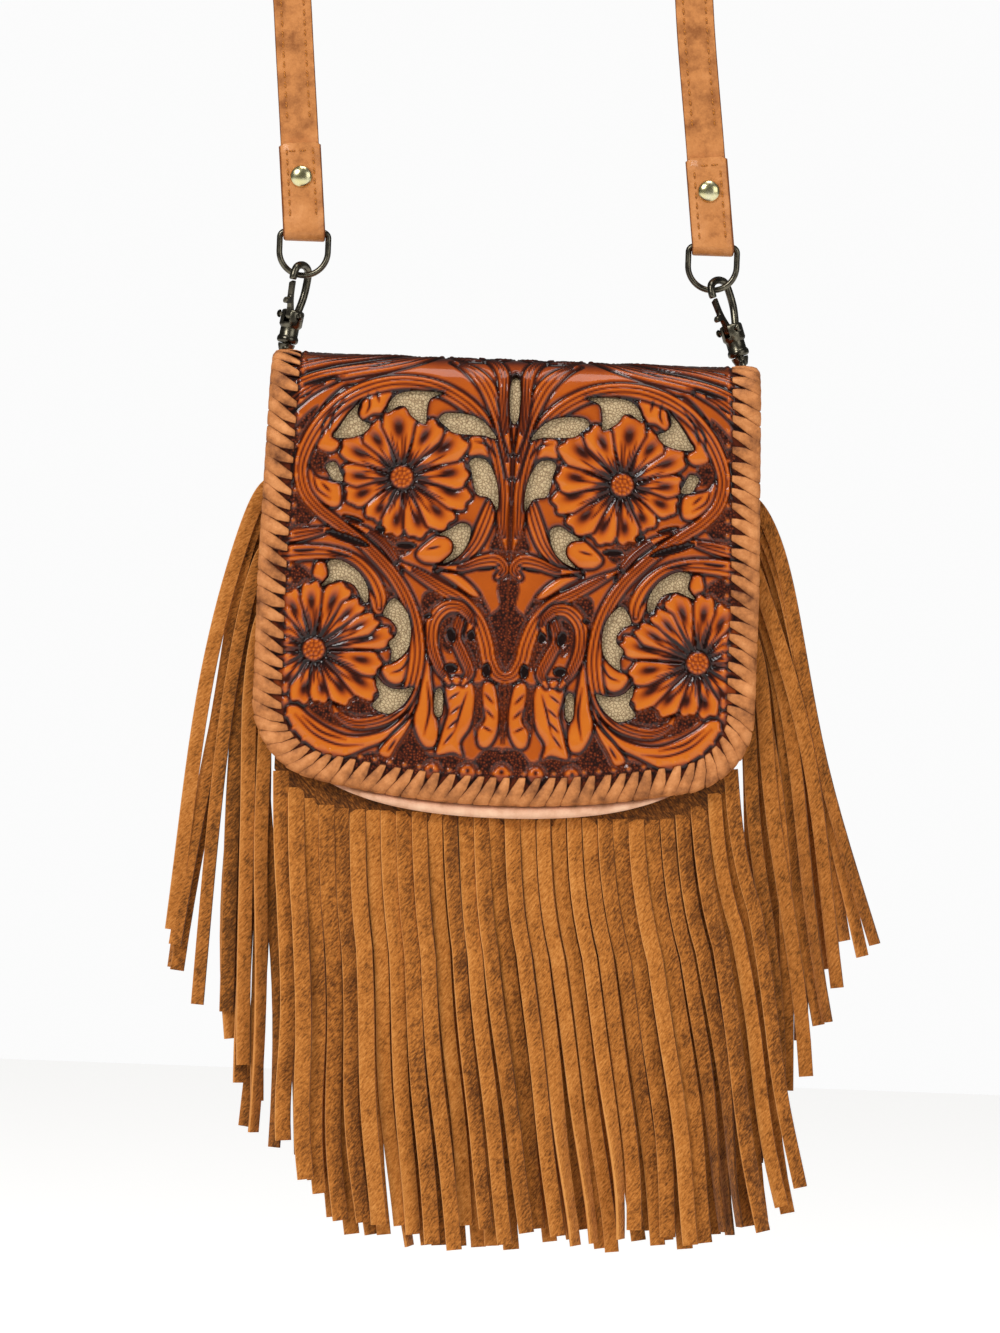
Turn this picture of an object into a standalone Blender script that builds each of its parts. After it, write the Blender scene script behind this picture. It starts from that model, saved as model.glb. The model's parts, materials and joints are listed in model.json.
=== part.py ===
"""A fringed suede bag with a carved leather flap, hanging by its strap.

Metres and +Z up in Blender, with the bag's front towards -Y. The sizes below are in millimetres.
Heights are measured from the middle of the flap. The origin is the inner face of the strap's top.
"""

import math

import bmesh
import bpy
from mathutils import Matrix, Vector
from mathutils.geometry import delaunay_2d_cdt
from mathutils.kdtree import KDTree

MM = 0.001
FIT = 0.3  # clearance between pieces that touch

# Where the bag hangs, and the flat sheets it is made of
HANG = 400.0  # strap top down to the middle of the flap
POUCH_HALF_WIDTH = 97.0
POUCH_CORNER = 36.0
POUCH_BOTTOM = -86.0
POUCH_BACK_Y = 7.0
POUCH_DEPTH = 60.0
SUEDE = 1.8
GUSSET_SUEDE = 2.0
FRONT_TOP = 66.0
BACK_TOP = 72.0
GUSSET_TOP = 72.0
POUCH_LINING = 0.8
POUCH_LINING_TOP = 62.0

# The flap: carved leather, foil inlay behind its windows, lace round its edge and a lining behind
HINGE_Y = -16.0
FLAP_FACE_Y = -64.0
FLAP_TOP = 90.0
FLAP_BEND = 16.0
FLAP_HALF_WIDTH = 100.5
FLAP_TOP_HALF_WIDTH = FLAP_HALF_WIDTH - 2.5
FLAP_CORNER = 31.0
FLAP_CORNER_HEIGHT = -52.0
FLAP_CORNER_SWEEP = math.radians(74)
FLAP_BOTTOM = -90.3
FLAP_THICKNESS = 2.8
INLAY_THICKNESS = 0.5
LINING_THICKNESS = 1.2
LINING_DROP = 7.7
LINING_ROLL = 4.0
LACE = 1.2
LACE_BORDER = 9.5
LACE_PITCH = 11.0
LACE_RIDGE = 0.9
BACK_STRIP_HALF_WIDTH = POUCH_HALF_WIDTH - 6.0
BACK_STRIP_BEND = 8.0
BACK_STRIP_FOOT = 48.0
HINGE_GAP = 0.4

# Magnet snap behind the flap
MAGNET_HEIGHT = -44.0
SOCKET_RADIUS = 9.0
STUD_RADIUS = 7.0

# Fringe
STRIP_WIDTH = 6.0
STRIP_GAP = 0.35
STRIP_THICKNESS = 1.2
STRIP_LENGTH = 172.0
FRINGE_LEFT = 4.0 - POUCH_HALF_WIDTH
FRINGE_FRONT_COUNT = 30
FRINGE_UNDER_COUNT = 20
FRINGE_SLIT = 14.0  # seam down to where the slits begin
BAND_DEPTH = 22.0
SIDE_TOP = 39.0
SIDE_COUNT = 14
SIDE_BAND = 9.0
SIDE_LAYER = 2.2
SIDE_LAYERS = 4
# Where the first and the last strip of each side end, as (reach beyond the pouch's edge, height)
LEFT_TAILS = ((39.0, -148.0), (-5.0, -236.0))
RIGHT_TAILS = ((53.0, -138.0), (21.0, -228.0))

# Strap and its hardware
STRAP_WIDTH = 16.0
STRAP_THICKNESS = 2.4
STRAP_TAIL = 37.0
RING_WIRE = 2.5
RING_WIDTH = 22.8
RING_HEIGHT = 20.75
RING_BOTTOM = 125.0
RIVET_CAP = 9.4
RIVET_POST = 4.0
TAB_WIDTH = 13.0
TAB_LEATHER = 1.6
TAB_FOOT = 50.0
BAR_HEIGHT = 80.0
EYE_WIRE = 2.5
HOOK_WIRE = 3.2
HOOK_REACH = 33.3  # barrel's foot up to the middle of the bow's wire
BARREL_RADIUS = 4.8
BARREL_HEIGHT = 14.0
POST_RADIUS = 1.9
POST_LENGTH = 6.0
PIN_RADIUS = 0.9
PIN_X = 2.2
PIN_HEIGHT = 11.6
GATE_THICKNESS = 2.0
GATE_TOP = 26.0
LINK_SLACK = 0.2  # ring wire up to the bow that hangs in it

# Carving, for the flap's left half; the right half mirrors it
FLOWERS = ((-44.8, 40.0, 28.0), (-78.0, -31.0, 27.0))
PETALS = 9
FLOWER_DISC = 6.2
PETAL_RISE = 1.3
STEM_RADIUS = 37.0
STEM_HALF_WIDTH = 3.0
STEM_RISE = 0.9
CENTRE_SLITS = ((0.0, 74.6, 3.9, 20.0),)
SIDE_SLITS = ((-26.7, -51.1, 3.5, 12.0),)
WINDOWS = (
    ((-73.5, 55.8), (-71.5, 59.5), (-68, 65), (-63.7, 69.8), (-64.2, 65.5), (-58.7, 61.4), (-61, 58)),
    ((-51.9, 66.5), (-51, 71), (-39.5, 76), (-29.3, 75.4), (-35.3, 71.6), (-36.4, 62.4), (-44.4, 69)),
    ((-30.7, 64.4), (-28.2, 67), (-14.3, 65.4), (-7.1, 57.3), (-17, 58.7), (-27.5, 61.5)),
    ((-17.7, 47.4), (-15.2, 49.3), (-10.8, 48.4), (-5.6, 36.2), (-5.7, 28.2), (-13.9, 34.4)),
    ((-29, 17.5), (-20.4, 22.5), (-16.3, 18), (-18.2, 12.4), (-27.5, 5.9), (-23, 14.2)),
    ((-76.3, 44.2), (-72.7, 45.6), (-69.1, 38.2), (-73, 38.2)),
    ((-76.3, -5), (-74.1, 4.5), (-69, 5.6), (-57.5, -5.1), (-57.3, -11), (-62.8, -4.5)),
    ((-50.7, -15.6), (-47, -9.3), (-40.1, -16.7), (-40.7, -30.6), (-46.4, -35.2), (-45, -21)),
    ((-52.4, -41.2), (-46, -46), (-37.3, -45.4), (-44, -54.8), (-53.7, -53.6), (-51, -49.1)),
)
CARVING_GRID = 11.0

# The strap's route above its legs, as (x, height) of its middle line
STRAP_ROUTE = (
    (-98.6, 233), (-103, 290), (-94, 345), (-58, 387), (-8, 400), (8, 400), (43, 386), (63, 345), (66, 290),
    (69.4, 239),
)
STRAP_SEAT = 8.0  # half the flat stretch at the strap's top
LEG_FEET = {"left": 6.4 - POUCH_HALF_WIDTH, "right": POUCH_HALF_WIDTH - 16.6}
HOOK_TOPS = {"left": 6.4 - POUCH_HALF_WIDTH, "right": POUCH_HALF_WIDTH - 14.5}
HOOK_TURNS = {"left": math.radians(245), "right": math.radians(235)}
BAR_X = POUCH_HALF_WIDTH + FIT + TAB_LEATHER + FIT / 2


def linear(hex_colour):
    """Turns an sRGB hex colour to Blender's linear values."""
    parts = [int(hex_colour[i : i + 2], 16) / 255 for i in (0, 2, 4)]
    return [p / 12.92 if p <= 0.04045 else ((p + 0.055) / 1.055) ** 2.4 for p in parts] + [1]


def finish(name, colour, roughness, metallic=0.0):
    """A plain material with one colour."""
    material = bpy.data.materials.get(name) or bpy.data.materials.new(name)
    material.use_nodes = True
    shader = material.node_tree.nodes["Principled BSDF"]
    shader.inputs["Base Color"].default_value = linear(colour)
    shader.inputs["Roughness"].default_value = roughness
    shader.inputs["Metallic"].default_value = metallic
    return material


def suede():
    return finish("golden_tan_suede", "B87830", 0.9)


def dark_suede():
    return finish("shaded_suede", "8A5620", 0.95)


def carved_leather():
    return finish("carved_orange_leather", "C8591A", 0.3)


def strap_leather():
    return finish("strap_leather", "C08450", 0.5)


def gunmetal():
    return finish("gunmetal", "4A463C", 0.3, 1.0)


def clear_scene():
    for thing in list(bpy.data.objects):
        bpy.data.objects.remove(thing, do_unlink=True)


def lifted(point):
    """A point with its height above the flap's middle, in metres from the strap's top."""
    return Vector((point[0], point[1], point[2] - HANG)) * MM


def solid(name, points, faces, material, smooth=True):
    """Makes an object of points in millimetres, with its faces turned outwards."""
    mesh = bpy.data.meshes.new(name)
    mesh.from_pydata([lifted(p) for p in points], [], faces)
    work = bmesh.new()
    work.from_mesh(mesh)
    bmesh.ops.recalc_face_normals(work, faces=work.faces)
    work.to_mesh(mesh)
    work.free()
    if smooth:
        mesh.shade_smooth()
        mesh.set_sharp_from_angle(angle=math.radians(35))
    mesh.materials.append(material)
    thing = bpy.data.objects.new(name, mesh)
    bpy.context.scene.collection.objects.link(thing)
    return thing


def pivot(name, place):
    """An empty on a joint's axis."""
    empty = bpy.data.objects.new(name, None)
    empty.location = lifted(place)
    bpy.context.scene.collection.objects.link(empty)
    return empty


def carry(empty, *things):
    """Parents the things to the empty where they are."""
    for thing in things:
        thing.parent = empty
        thing.matrix_parent_inverse = Matrix.Translation(-empty.location)


def combine(thing, other, operation):
    """Joins another solid to this one or cuts it away."""
    other.hide_render = True
    other.display_type = "WIRE"
    other.parent = thing.parent
    step = thing.modifiers.new(other.name, "BOOLEAN")
    step.object = other
    step.operation = operation
    step.solver = "EXACT"


def skin_rings(rings, closed):
    """Faces that join rings of equal size, with flat ends unless the run is closed."""
    size = len(rings[0])
    points = [p for ring in rings for p in ring]
    faces = []
    for i in range(len(rings) if closed else len(rings) - 1):
        here, there = i * size, ((i + 1) % len(rings)) * size
        for j in range(size):
            k = (j + 1) % size
            faces.append((here + j, here + k, there + k, there + j))
    if not closed:
        faces.append(tuple(range(size)))
        faces.append(tuple(range(len(points) - size, len(points))))
    return points, faces


def bar(path, radii, sides, across, closed=False):
    """A round bar along a flat path; across is the direction square to the path's plane."""
    path = [Vector(p) for p in path]
    across = Vector(across).normalized()
    rings = []
    for i, middle in enumerate(path):
        after = path[(i + 1) % len(path)] if closed or i + 1 < len(path) else middle
        before = path[i - 1] if closed or i else middle
        side = (after - before).normalized().cross(across).normalized()
        turns = [2 * math.pi * j / sides for j in range(sides)]
        rings.append([middle + radii[i] * (math.cos(a) * side + math.sin(a) * across) for a in turns])
    return skin_rings(rings, closed)


def turned(profile, sides):
    """A round piece about Z from (radius, height) points; a point of no radius is a pole."""
    points, faces, rings = [], [], []
    for radius, height in profile:
        ring = [len(points)] if radius == 0 else list(range(len(points), len(points) + sides))
        turns = [2 * math.pi * j / sides for j in range(len(ring))]
        points += [Vector((radius * math.cos(a), radius * math.sin(a), height)) for a in turns]
        rings.append(ring)
    for low, high in zip(rings, rings[1:]):
        for j in range(sides):
            k = (j + 1) % sides
            corners = [low[j % len(low)], low[k % len(low)], high[k % len(high)], high[j % len(high)]]
            faces.append(tuple(dict.fromkeys(corners)))
    return points, faces


def extruded(outline, low, high):
    """A prism along Y from (x, z) points."""
    return skin_rings([[Vector((x, y, z)) for x, z in outline] for y in (low, high)], closed=False)


def box(low, high):
    outline = [(low[0], low[2]), (high[0], low[2]), (high[0], high[2]), (low[0], high[2])]
    return extruded(outline, low[1], high[1])


def moved(shape, matrix):
    points, faces = shape
    return [matrix @ Vector(p) for p in points], faces


def arc(centre, radius, start, end, steps):
    """Points of a round stretch, ends included."""
    turns = [start + (end - start) * i / steps for i in range(steps + 1)]
    return [(centre[0] + radius * math.cos(a), centre[1] + radius * math.sin(a)) for a in turns]


def mirrored(half):
    """A closed outline from its right half, which runs down to the middle line."""
    left = [(-x, z) for x, z in reversed(half) if x > FIT]
    return list(half) + left


def inside(point, loop):
    """Tells whether a flat point lies within a loop."""
    found = False
    for (x0, z0), (x1, z1) in zip(loop, list(loop[1:]) + [loop[0]]):
        if (z0 > point[1]) != (z1 > point[1]) and point[0] < (x1 - x0) * (point[1] - z0) / (z1 - z0) + x0:
            found = not found
    return found


def cut_sheet(outline, holes, lines, fill):
    """Triangles of a flat sheet with holes, lines that its edges follow and points inside it."""
    points, edges = [], []
    for loop in [outline, *holes]:
        first = len(points)
        points += loop
        edges += [(first + i, first + (i + 1) % len(loop)) for i in range(len(loop))]
    for line in lines:
        edges += [(len(points) + i, len(points) + i + 1) for i in range(len(line) - 1)]
        points += line
    points += fill
    found = delaunay_2d_cdt([Vector(p) for p in points], edges, [], 0, 1e-4)
    flat, triangles = found[0], found[2]
    kept = []
    for face in triangles:
        middle = sum((flat[i] for i in face), Vector((0, 0))) / 3
        if inside(middle, outline) and not any(inside(middle, hole) for hole in holes):
            kept.append(tuple(face))
    used = sorted({i for face in kept for i in face})
    place = {old: new for new, old in enumerate(used)}
    return [flat[i] for i in used], [tuple(place[i] for i in face) for face in kept]


def bent_sheet(outline, holes, creases, ribs, fill, surface, depth, thickness, relief):
    """A sheet of leather cut flat and laid on a bent surface, with a relief on its face.

    It bends along the creases. Ribs and fill are lines and points that only its face has.
    """
    face_points, face_triangles = cut_sheet(outline, holes, creases + ribs, fill)
    rear_points, rear_triangles = cut_sheet(outline, holes, creases, [])
    points = [surface(x, run, depth - relief(x, run)) for x, run in face_points]
    points += [surface(x, run, depth + thickness) for x, run in rear_points]
    first = len(face_points)
    tree = KDTree(len(rear_points))
    for i, (x, run) in enumerate(rear_points):
        tree.insert((x, run, 0), i)
    tree.balance()
    rear = [first + tree.find((x, run, 0))[1] for x, run in face_points]
    faces = list(face_triangles) + [tuple(first + i for i in reversed(face)) for face in rear_triangles]
    edges = {(face[i], face[(i + 1) % 3]) for face in face_triangles for i in range(3)}
    faces += [(b, a, rear[a], rear[b]) for a, b in edges if (b, a) not in edges]
    return points, faces


def flap_flat():
    """Leather from the hinge line to where the flap begins to bend down."""
    return HINGE_Y - FLAP_FACE_Y - FLAP_BEND


def flap_surface(x, run, depth):
    """A point of the flap: across, along the leather from the hinge line, and in from its face."""
    flat = flap_flat()
    turn = min(max((run - flat) / FLAP_BEND, 0), math.pi / 2)
    drop = max(run - flat - FLAP_BEND * math.pi / 2, 0)
    y = HINGE_Y - min(run, flat) - FLAP_BEND * math.sin(turn)
    z = FLAP_TOP - FLAP_BEND * (1 - math.cos(turn)) - drop
    return Vector((x, y + depth * math.sin(turn), z - depth * math.cos(turn)))


def run_at(height):
    """How far along the leather a height on the flap's front lies."""
    above = height - (FLAP_TOP - FLAP_BEND)
    if above > 0:
        return flap_flat() + FLAP_BEND * math.acos(min(above / FLAP_BEND, 1))
    return flap_flat() + FLAP_BEND * math.pi / 2 - above


def flap_bottom(x):
    """Height of the flap's sagging lower edge."""
    start = FLAP_HALF_WIDTH - FLAP_CORNER + FLAP_CORNER * math.cos(FLAP_CORNER_SWEEP)
    rise = FLAP_CORNER_HEIGHT - FLAP_CORNER * math.sin(FLAP_CORNER_SWEEP) - FLAP_BOTTOM
    return FLAP_BOTTOM + rise * (x / start) ** 2


def flap_edge(inset=0.0, first_run=0.0, drop=0.0):
    """The right half of the flap's edge as (x, run), from the hinge line to its lowest point."""
    edge = [(FLAP_TOP_HALF_WIDTH - inset, first_run), (FLAP_TOP_HALF_WIDTH - inset, flap_flat())]
    steps = 10
    for i in range(steps):
        height = FLAP_TOP - FLAP_BEND + (FLAP_CORNER_HEIGHT - FLAP_TOP + FLAP_BEND) * i / steps
        widen = min(1.0, (FLAP_TOP - height) / FLAP_TOP)
        half = FLAP_TOP_HALF_WIDTH + (FLAP_HALF_WIDTH - FLAP_TOP_HALF_WIDTH) * widen
        edge.append((half - inset, run_at(height)))
    centre = (FLAP_HALF_WIDTH - FLAP_CORNER, FLAP_CORNER_HEIGHT)
    corner = arc(centre, FLAP_CORNER - inset, 0, -FLAP_CORNER_SWEEP, 7)
    edge += [(x, run_at(z)) for x, z in corner]
    start = corner[-1][0]
    for i in range(1, 8):
        x = start * (1 - i / 7)
        below = drop * (1 - (x / start) ** 4)
        edge.append((x, run_at(flap_bottom(x) + inset - below)))
    return edge


def bend_lines(reach):
    """Lines across the leather along which it turns over the top edge."""
    runs = [flap_flat() + FLAP_BEND * math.radians(a) for a in (0, 18, 36, 54, 72, 90)]
    return [[(-reach, run), (reach, run)] for run in runs]


def petal_edge(flower, turn):
    """How far out the flower reaches in a direction."""
    return flower[2] * (0.84 + 0.16 * abs(math.cos(PETALS * turn / 2)))


def carving_rise(x, height):
    """How far the carving stands above the leather."""
    x = -abs(x)
    rise = 0.0
    for flower in FLOWERS:
        out = math.hypot(x - flower[0], height - flower[1])
        turn = math.atan2(height - flower[1], x - flower[0])
        edge = petal_edge(flower, turn)
        if out < FLOWER_DISC - 0.1:
            rise = max(rise, PETAL_RISE)
        elif out < edge:
            ridge = 0.55 + 0.45 * abs(math.cos(PETALS * turn / 2))
            share = min(max((out - FLOWER_DISC) / (edge - FLOWER_DISC), 0), 1)
            rise = max(rise, PETAL_RISE * ridge * math.sqrt(max(math.sin(math.pi * share), 0)))
        elif abs(out - STEM_RADIUS) < STEM_HALF_WIDTH:
            rise = max(rise, STEM_RISE * (1 - abs(out - STEM_RADIUS) / STEM_HALF_WIDTH))
    return rise


def carving_points():
    """Points that hold the carving's form, as (x, height)."""
    points = []
    for flower in FLOWERS:
        for share in (0.0, 0.5, 0.8, 1.0):
            for i in range(2 * PETALS):
                turn = math.pi * i / PETALS
                out = FLOWER_DISC + share * (petal_edge(flower, turn) - FLOWER_DISC)
                points.append((flower[0] + out * math.cos(turn), flower[1] + out * math.sin(turn)))
        for offset in (-STEM_HALF_WIDTH, 0, STEM_HALF_WIDTH):
            ring = arc(flower[:2], STEM_RADIUS + offset, 0, 2 * math.pi, 20)
            points += ring[:-1]
    taken = list(points)
    count = int(FLAP_HALF_WIDTH / CARVING_GRID)
    rows = int((FLAP_TOP - FLAP_BOTTOM) / CARVING_GRID)
    for i in range(count + 1):
        for j in range(rows):
            spot = (-i * CARVING_GRID, FLAP_TOP - FLAP_BEND - (j + 0.5) * CARVING_GRID)
            if all(math.dist(spot, other) > CARVING_GRID * 0.6 for other in taken):
                points.append(spot)
    return points


def near_loop(point, loop, reach):
    return any(math.dist(point, corner) < reach for corner in loop)


def flap_windows():
    """The openings cut through the flap, as loops of (x, run)."""
    def slit(x, z, wide, tall):
        return [(x + wide / 2 * math.cos(a * math.pi / 4), z + tall / 2 * math.sin(a * math.pi / 4)) for a in range(8)]

    loops = [slit(*size) for size in CENTRE_SLITS]
    for loop in [slit(*size) for size in SIDE_SLITS] + [list(w) for w in WINDOWS]:
        loops.append(loop)
        loops.append([(-x, z) for x, z in reversed(loop)])
    return [[(x, run_at(z)) for x, z in loop] for loop in loops]


def carved_panel():
    """The carved front leather, pierced where the inlay shows."""
    outline = mirrored(flap_edge())
    holes = flap_windows()
    border = mirrored(flap_edge(LACE_BORDER + FIT, LACE_BORDER))
    field = mirrored(flap_edge(LACE_BORDER + STEM_HALF_WIDTH, LACE_BORDER + STEM_HALF_WIDTH))
    fill = []
    for x, z in carving_points():
        for side in (x, -x) if x else (x,):
            spot = (side, run_at(z)) if z < FLAP_TOP else None
            if spot and inside(spot, field) and not any(
                inside(spot, hole) or near_loop(spot, hole, 1.2) for hole in holes
            ):
                fill.append(spot)

    def relief(x, run):
        height = flap_surface(x, run, 0).z
        return carving_rise(x, height) if inside((x, run), field) else 0.0

    lines = bend_lines(2 * FLAP_HALF_WIDTH)
    shape = bent_sheet(outline, holes, lines, [border], fill, flap_surface, 0, FLAP_THICKNESS, relief)
    return solid("flap_carved_panel", *shape, carved_leather())


def flat_relief(x, run):
    return 0.0


def inlay_sheet():
    """The pale foil leather that shows through the windows."""
    depth = FLAP_THICKNESS + FIT
    outline = mirrored(flap_edge(FIT + 1, flap_flat()))
    lines = bend_lines(2 * FLAP_HALF_WIDTH)[1:]
    shape = bent_sheet(outline, [], lines, [], [], flap_surface, depth, INLAY_THICKNESS, flat_relief)
    return solid("flap_inlay", *shape, finish("champagne_foil_leather", "BFB48A", 0.35, 0.6))


def lining_depth():
    return FLAP_THICKNESS + INLAY_THICKNESS + LACE + 3 * FIT


def flap_lining():
    """The natural leather behind the flap, which rolls forward below the lace."""
    outline = mirrored(flap_edge(FIT, 2 * FLAP_THICKNESS, LINING_DROP))
    fill = []
    for i in range(-6, 7):
        x = i * 11.5
        below = flap_bottom(x) - LACE - 2 * FIT
        reach = LINING_DROP * (1 - (x / 78) ** 4) - LACE - FIT
        fill += [(x, run_at(below - reach * share)) for share in (0.0, 0.3, 0.7)]

    def relief(x, run):
        start = run_at(flap_bottom(x) - LACE - 2 * FIT)
        end = run_at(flap_bottom(x) - LINING_DROP * (1 - (x / 78) ** 4))
        share = (run - start) / max(end - start, FIT)
        taper = max(1 - (x / 66) ** 4, 0)
        return LINING_ROLL * taper * math.sin(math.pi * share) if 0 < share < 1 else 0.0

    lines = bend_lines(2 * FLAP_HALF_WIDTH)
    shape = bent_sheet(outline, [], lines, [], fill, flap_surface, lining_depth(), LINING_THICKNESS, relief)
    return solid("flap_lining", *shape, finish("natural_leather", "E8B090", 0.6))


def walk(edge, pitch):
    """Even steps along a line of flat points, as (point, outward direction)."""
    lengths = [math.dist(a, b) for a, b in zip(edge, edge[1:])]
    steps = round(sum(lengths) / pitch)
    found = []
    for i in range(steps + 1):
        left = sum(lengths) * i / steps
        j = 0
        while j < len(lengths) - 1 and left > lengths[j]:
            left -= lengths[j]
            j += 1
        a, b = Vector(edge[j]), Vector(edge[j + 1])
        along = (b - a).normalized()
        found.append((a + along * left, Vector((along.y, -along.x))))
    return found


def edge_lace():
    """The whipstitched thong that binds the flap's edge, with a ridge at each stitch."""
    half = flap_edge(0.0, 4 * FLAP_THICKNESS)
    edge = half + [(-x, run) for x, run in reversed(half[:-1])]
    stations = walk(edge, LACE_PITCH / 2)
    rear = FLAP_THICKNESS + INLAY_THICKNESS + FIT
    rings = []
    for i, (spot, _) in enumerate(stations):
        before = stations[max(i - 1, 0)][0]
        after = stations[min(i + 1, len(stations) - 1)][0]
        along = (after - before).normalized()
        out = Vector((-along.y, along.x)) if along.y * spot.x < 0 else Vector((along.y, -along.x))
        if abs(spot.x) < FIT:
            out = Vector((0, 1))
        ridge = LACE_RIDGE if i % 2 else 0.0
        section = (
            (-LACE_BORDER, -FIT), (-LACE_BORDER / 2, -FIT - LACE - ridge), (FIT + LACE, -FIT - ridge / 2),
            (FIT + LACE, rear + FIT + LACE / 2), (-LACE_BORDER, rear + FIT), (FIT, rear + FIT), (FIT, -FIT),
        )
        ring = []
        for step, depth in section:
            flat = spot + out * step
            ring.append(flap_surface(flat.x, flat.y, depth))
        rings.append(ring)
    return solid("flap_lace", *skin_rings(rings, closed=False), finish("lace_leather", "A8795A", 0.7))


def back_strip():
    """The fixed end of the flap's leather, over the bag's rear top edge and down its back."""
    face = POUCH_BACK_Y + FIT + FLAP_THICKNESS
    start = HINGE_Y + FLAP_THICKNESS / 2 + HINGE_GAP
    centre = (face - BACK_STRIP_BEND, FLAP_TOP - BACK_STRIP_BEND)
    outer = [(start, FLAP_TOP)] + arc(centre, BACK_STRIP_BEND, math.pi / 2, 0, 6) + [(face, BACK_STRIP_FOOT)]
    inner_radius = BACK_STRIP_BEND - FLAP_THICKNESS
    inner = [(start, FLAP_TOP - FLAP_THICKNESS)] + arc(centre, inner_radius, math.pi / 2, 0, 6)
    inner.append((face - FLAP_THICKNESS, BACK_STRIP_FOOT))
    outline = outer + inner[::-1]
    rings = [[Vector((x, y, z)) for y, z in outline] for x in (-BACK_STRIP_HALF_WIDTH, BACK_STRIP_HALF_WIDTH)]
    return solid("flap_back_strip", *skin_rings(rings, closed=False), carved_leather())


def pouch_outline(inset, top):
    """The pouch's front outline: straight sides and round lower corners, clockwise from its top right."""
    half = POUCH_HALF_WIDTH - inset
    radius = POUCH_CORNER - inset
    centre = (POUCH_HALF_WIDTH - POUCH_CORNER, POUCH_BOTTOM + POUCH_CORNER)
    right = [(half, top)] + arc(centre, radius, 0, -math.pi / 2, 8)
    return right + [(-x, z) for x, z in reversed(right)]


def pouch_front_y():
    return POUCH_BACK_Y - POUCH_DEPTH


def pouch_panels():
    """The flat suede front and back."""
    front = extruded(pouch_outline(0, FRONT_TOP), pouch_front_y(), pouch_front_y() + SUEDE)
    back = extruded(pouch_outline(0, BACK_TOP), POUCH_BACK_Y - SUEDE, POUCH_BACK_Y)
    solid("front_panel", *front, suede())
    solid("back_panel", *back, suede())


def gusset():
    """The suede band that makes the sides and the bottom."""
    outer = pouch_outline(0, GUSSET_TOP)
    inner = pouch_outline(GUSSET_SUEDE, GUSSET_TOP)
    low, high = pouch_front_y() + SUEDE + FIT, POUCH_BACK_Y - SUEDE - FIT
    shape = extruded(outer + inner[::-1], low, high)
    solid("gusset", *shape, suede())


def pouch_lining():
    """The thin cup of lining leather inside the pouch."""
    low, high = pouch_front_y() + SUEDE + FIT, POUCH_BACK_Y - SUEDE - FIT
    outer = pouch_outline(GUSSET_SUEDE + FIT, POUCH_LINING_TOP)
    inner = pouch_outline(GUSSET_SUEDE + FIT + POUCH_LINING, POUCH_LINING_TOP)
    size = len(outer)
    points = [Vector((x, y, z)) for y in (low, high) for x, z in outer]
    points += [Vector((x, y, z)) for y in (low + POUCH_LINING, high - POUCH_LINING) for x, z in inner]
    faces = [tuple(range(size)), tuple(range(size, 2 * size))]
    faces += [tuple(range(2 * size, 3 * size)), tuple(range(3 * size, 4 * size))]
    for start in (0, 2 * size):
        for i in range(size - 1):
            faces.append((start + i, start + i + 1, start + size + i + 1, start + size + i))
    rim_outer = [0, size - 1, 2 * size - 1, size]
    rim_inner = [2 * size, 3 * size - 1, 4 * size - 1, 3 * size]
    for i in range(4):
        k = (i + 1) % 4
        faces.append((rim_outer[i], rim_outer[k], rim_inner[k], rim_inner[i]))
    solid("pouch_lining", points, faces, finish("lining_leather", "9C7350", 0.7))


def disc_profile(radius, thick, lip):
    return [(0, 0), (radius, 0), (radius, thick * 0.6), (radius - lip, thick), (0, thick)]


def magnet_snap():
    """The two halves of the magnet snap: a socket on the pouch and a stud behind the flap."""
    rear = FLAP_FACE_Y + lining_depth() + LINING_THICKNESS
    room = pouch_front_y() - rear
    thick = (room - 3 * FIT) / 2
    turn = Matrix.Rotation(math.pi / 2, 4, "X")
    metal = finish("pale_brass", "C9BE86", 0.3, 1.0)
    socket_place = Matrix.Translation((0, pouch_front_y() - FIT, MAGNET_HEIGHT)) @ turn
    socket = moved(turned(disc_profile(SOCKET_RADIUS, thick, 0.6), 16), socket_place)
    solid("magnet_socket", *socket, metal)
    stud_place = Matrix.Translation((0, rear + FIT + thick, MAGNET_HEIGHT)) @ turn
    stud = moved(turned(disc_profile(STUD_RADIUS, thick, 0.6), 16), stud_place)
    return solid("magnet_stud", *stud, metal)


def comb(sections, strips):
    """A band with strips hanging from its lower edge.

    A section is the band's four corners at one slit edge: upper face, lower face, lower rear, upper rear.
    Between an even section and the next hangs a strip, given as its rings of four corners.
    """
    points = [p for section in sections for p in section]
    faces = []
    for i in range(len(sections) - 1):
        a, b = 4 * i, 4 * i + 4
        faces += [(a, a + 1, b + 1, b), (a + 2, a + 3, b + 3, b + 2), (a + 3, a, b, b + 3)]
        if i % 2:
            faces.append((a + 1, a + 2, b + 2, b + 1))
            continue
        last = [a + 1, b + 1, b + 2, a + 2]
        for ring in strips[i // 2]:
            here = list(range(len(points), len(points) + 4))
            points += ring
            faces += [(last[j], last[(j + 1) % 4], here[(j + 1) % 4], here[j]) for j in range(4)]
            last = here
        faces.append(tuple(last))
    end = 4 * (len(sections) - 1)
    faces += [(0, 1, 2, 3), (end, end + 1, end + 2, end + 3)]
    return points, faces


def strip_ring(middle, across, out):
    """Four corners of a strip's section."""
    wide, thick = across * (STRIP_WIDTH / 2), out * (STRIP_THICKNESS / 2)
    return [middle - wide + thick, middle + wide + thick, middle + wide - thick, middle - wide - thick]


def seam_height(x):
    """Height of the seam that the front fringe hangs from."""
    centre = POUCH_HALF_WIDTH - POUCH_CORNER
    over = max(abs(x) - centre, 0)
    return POUCH_BOTTOM + POUCH_CORNER - math.sqrt(max(POUCH_CORNER**2 - over**2, 0))


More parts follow.
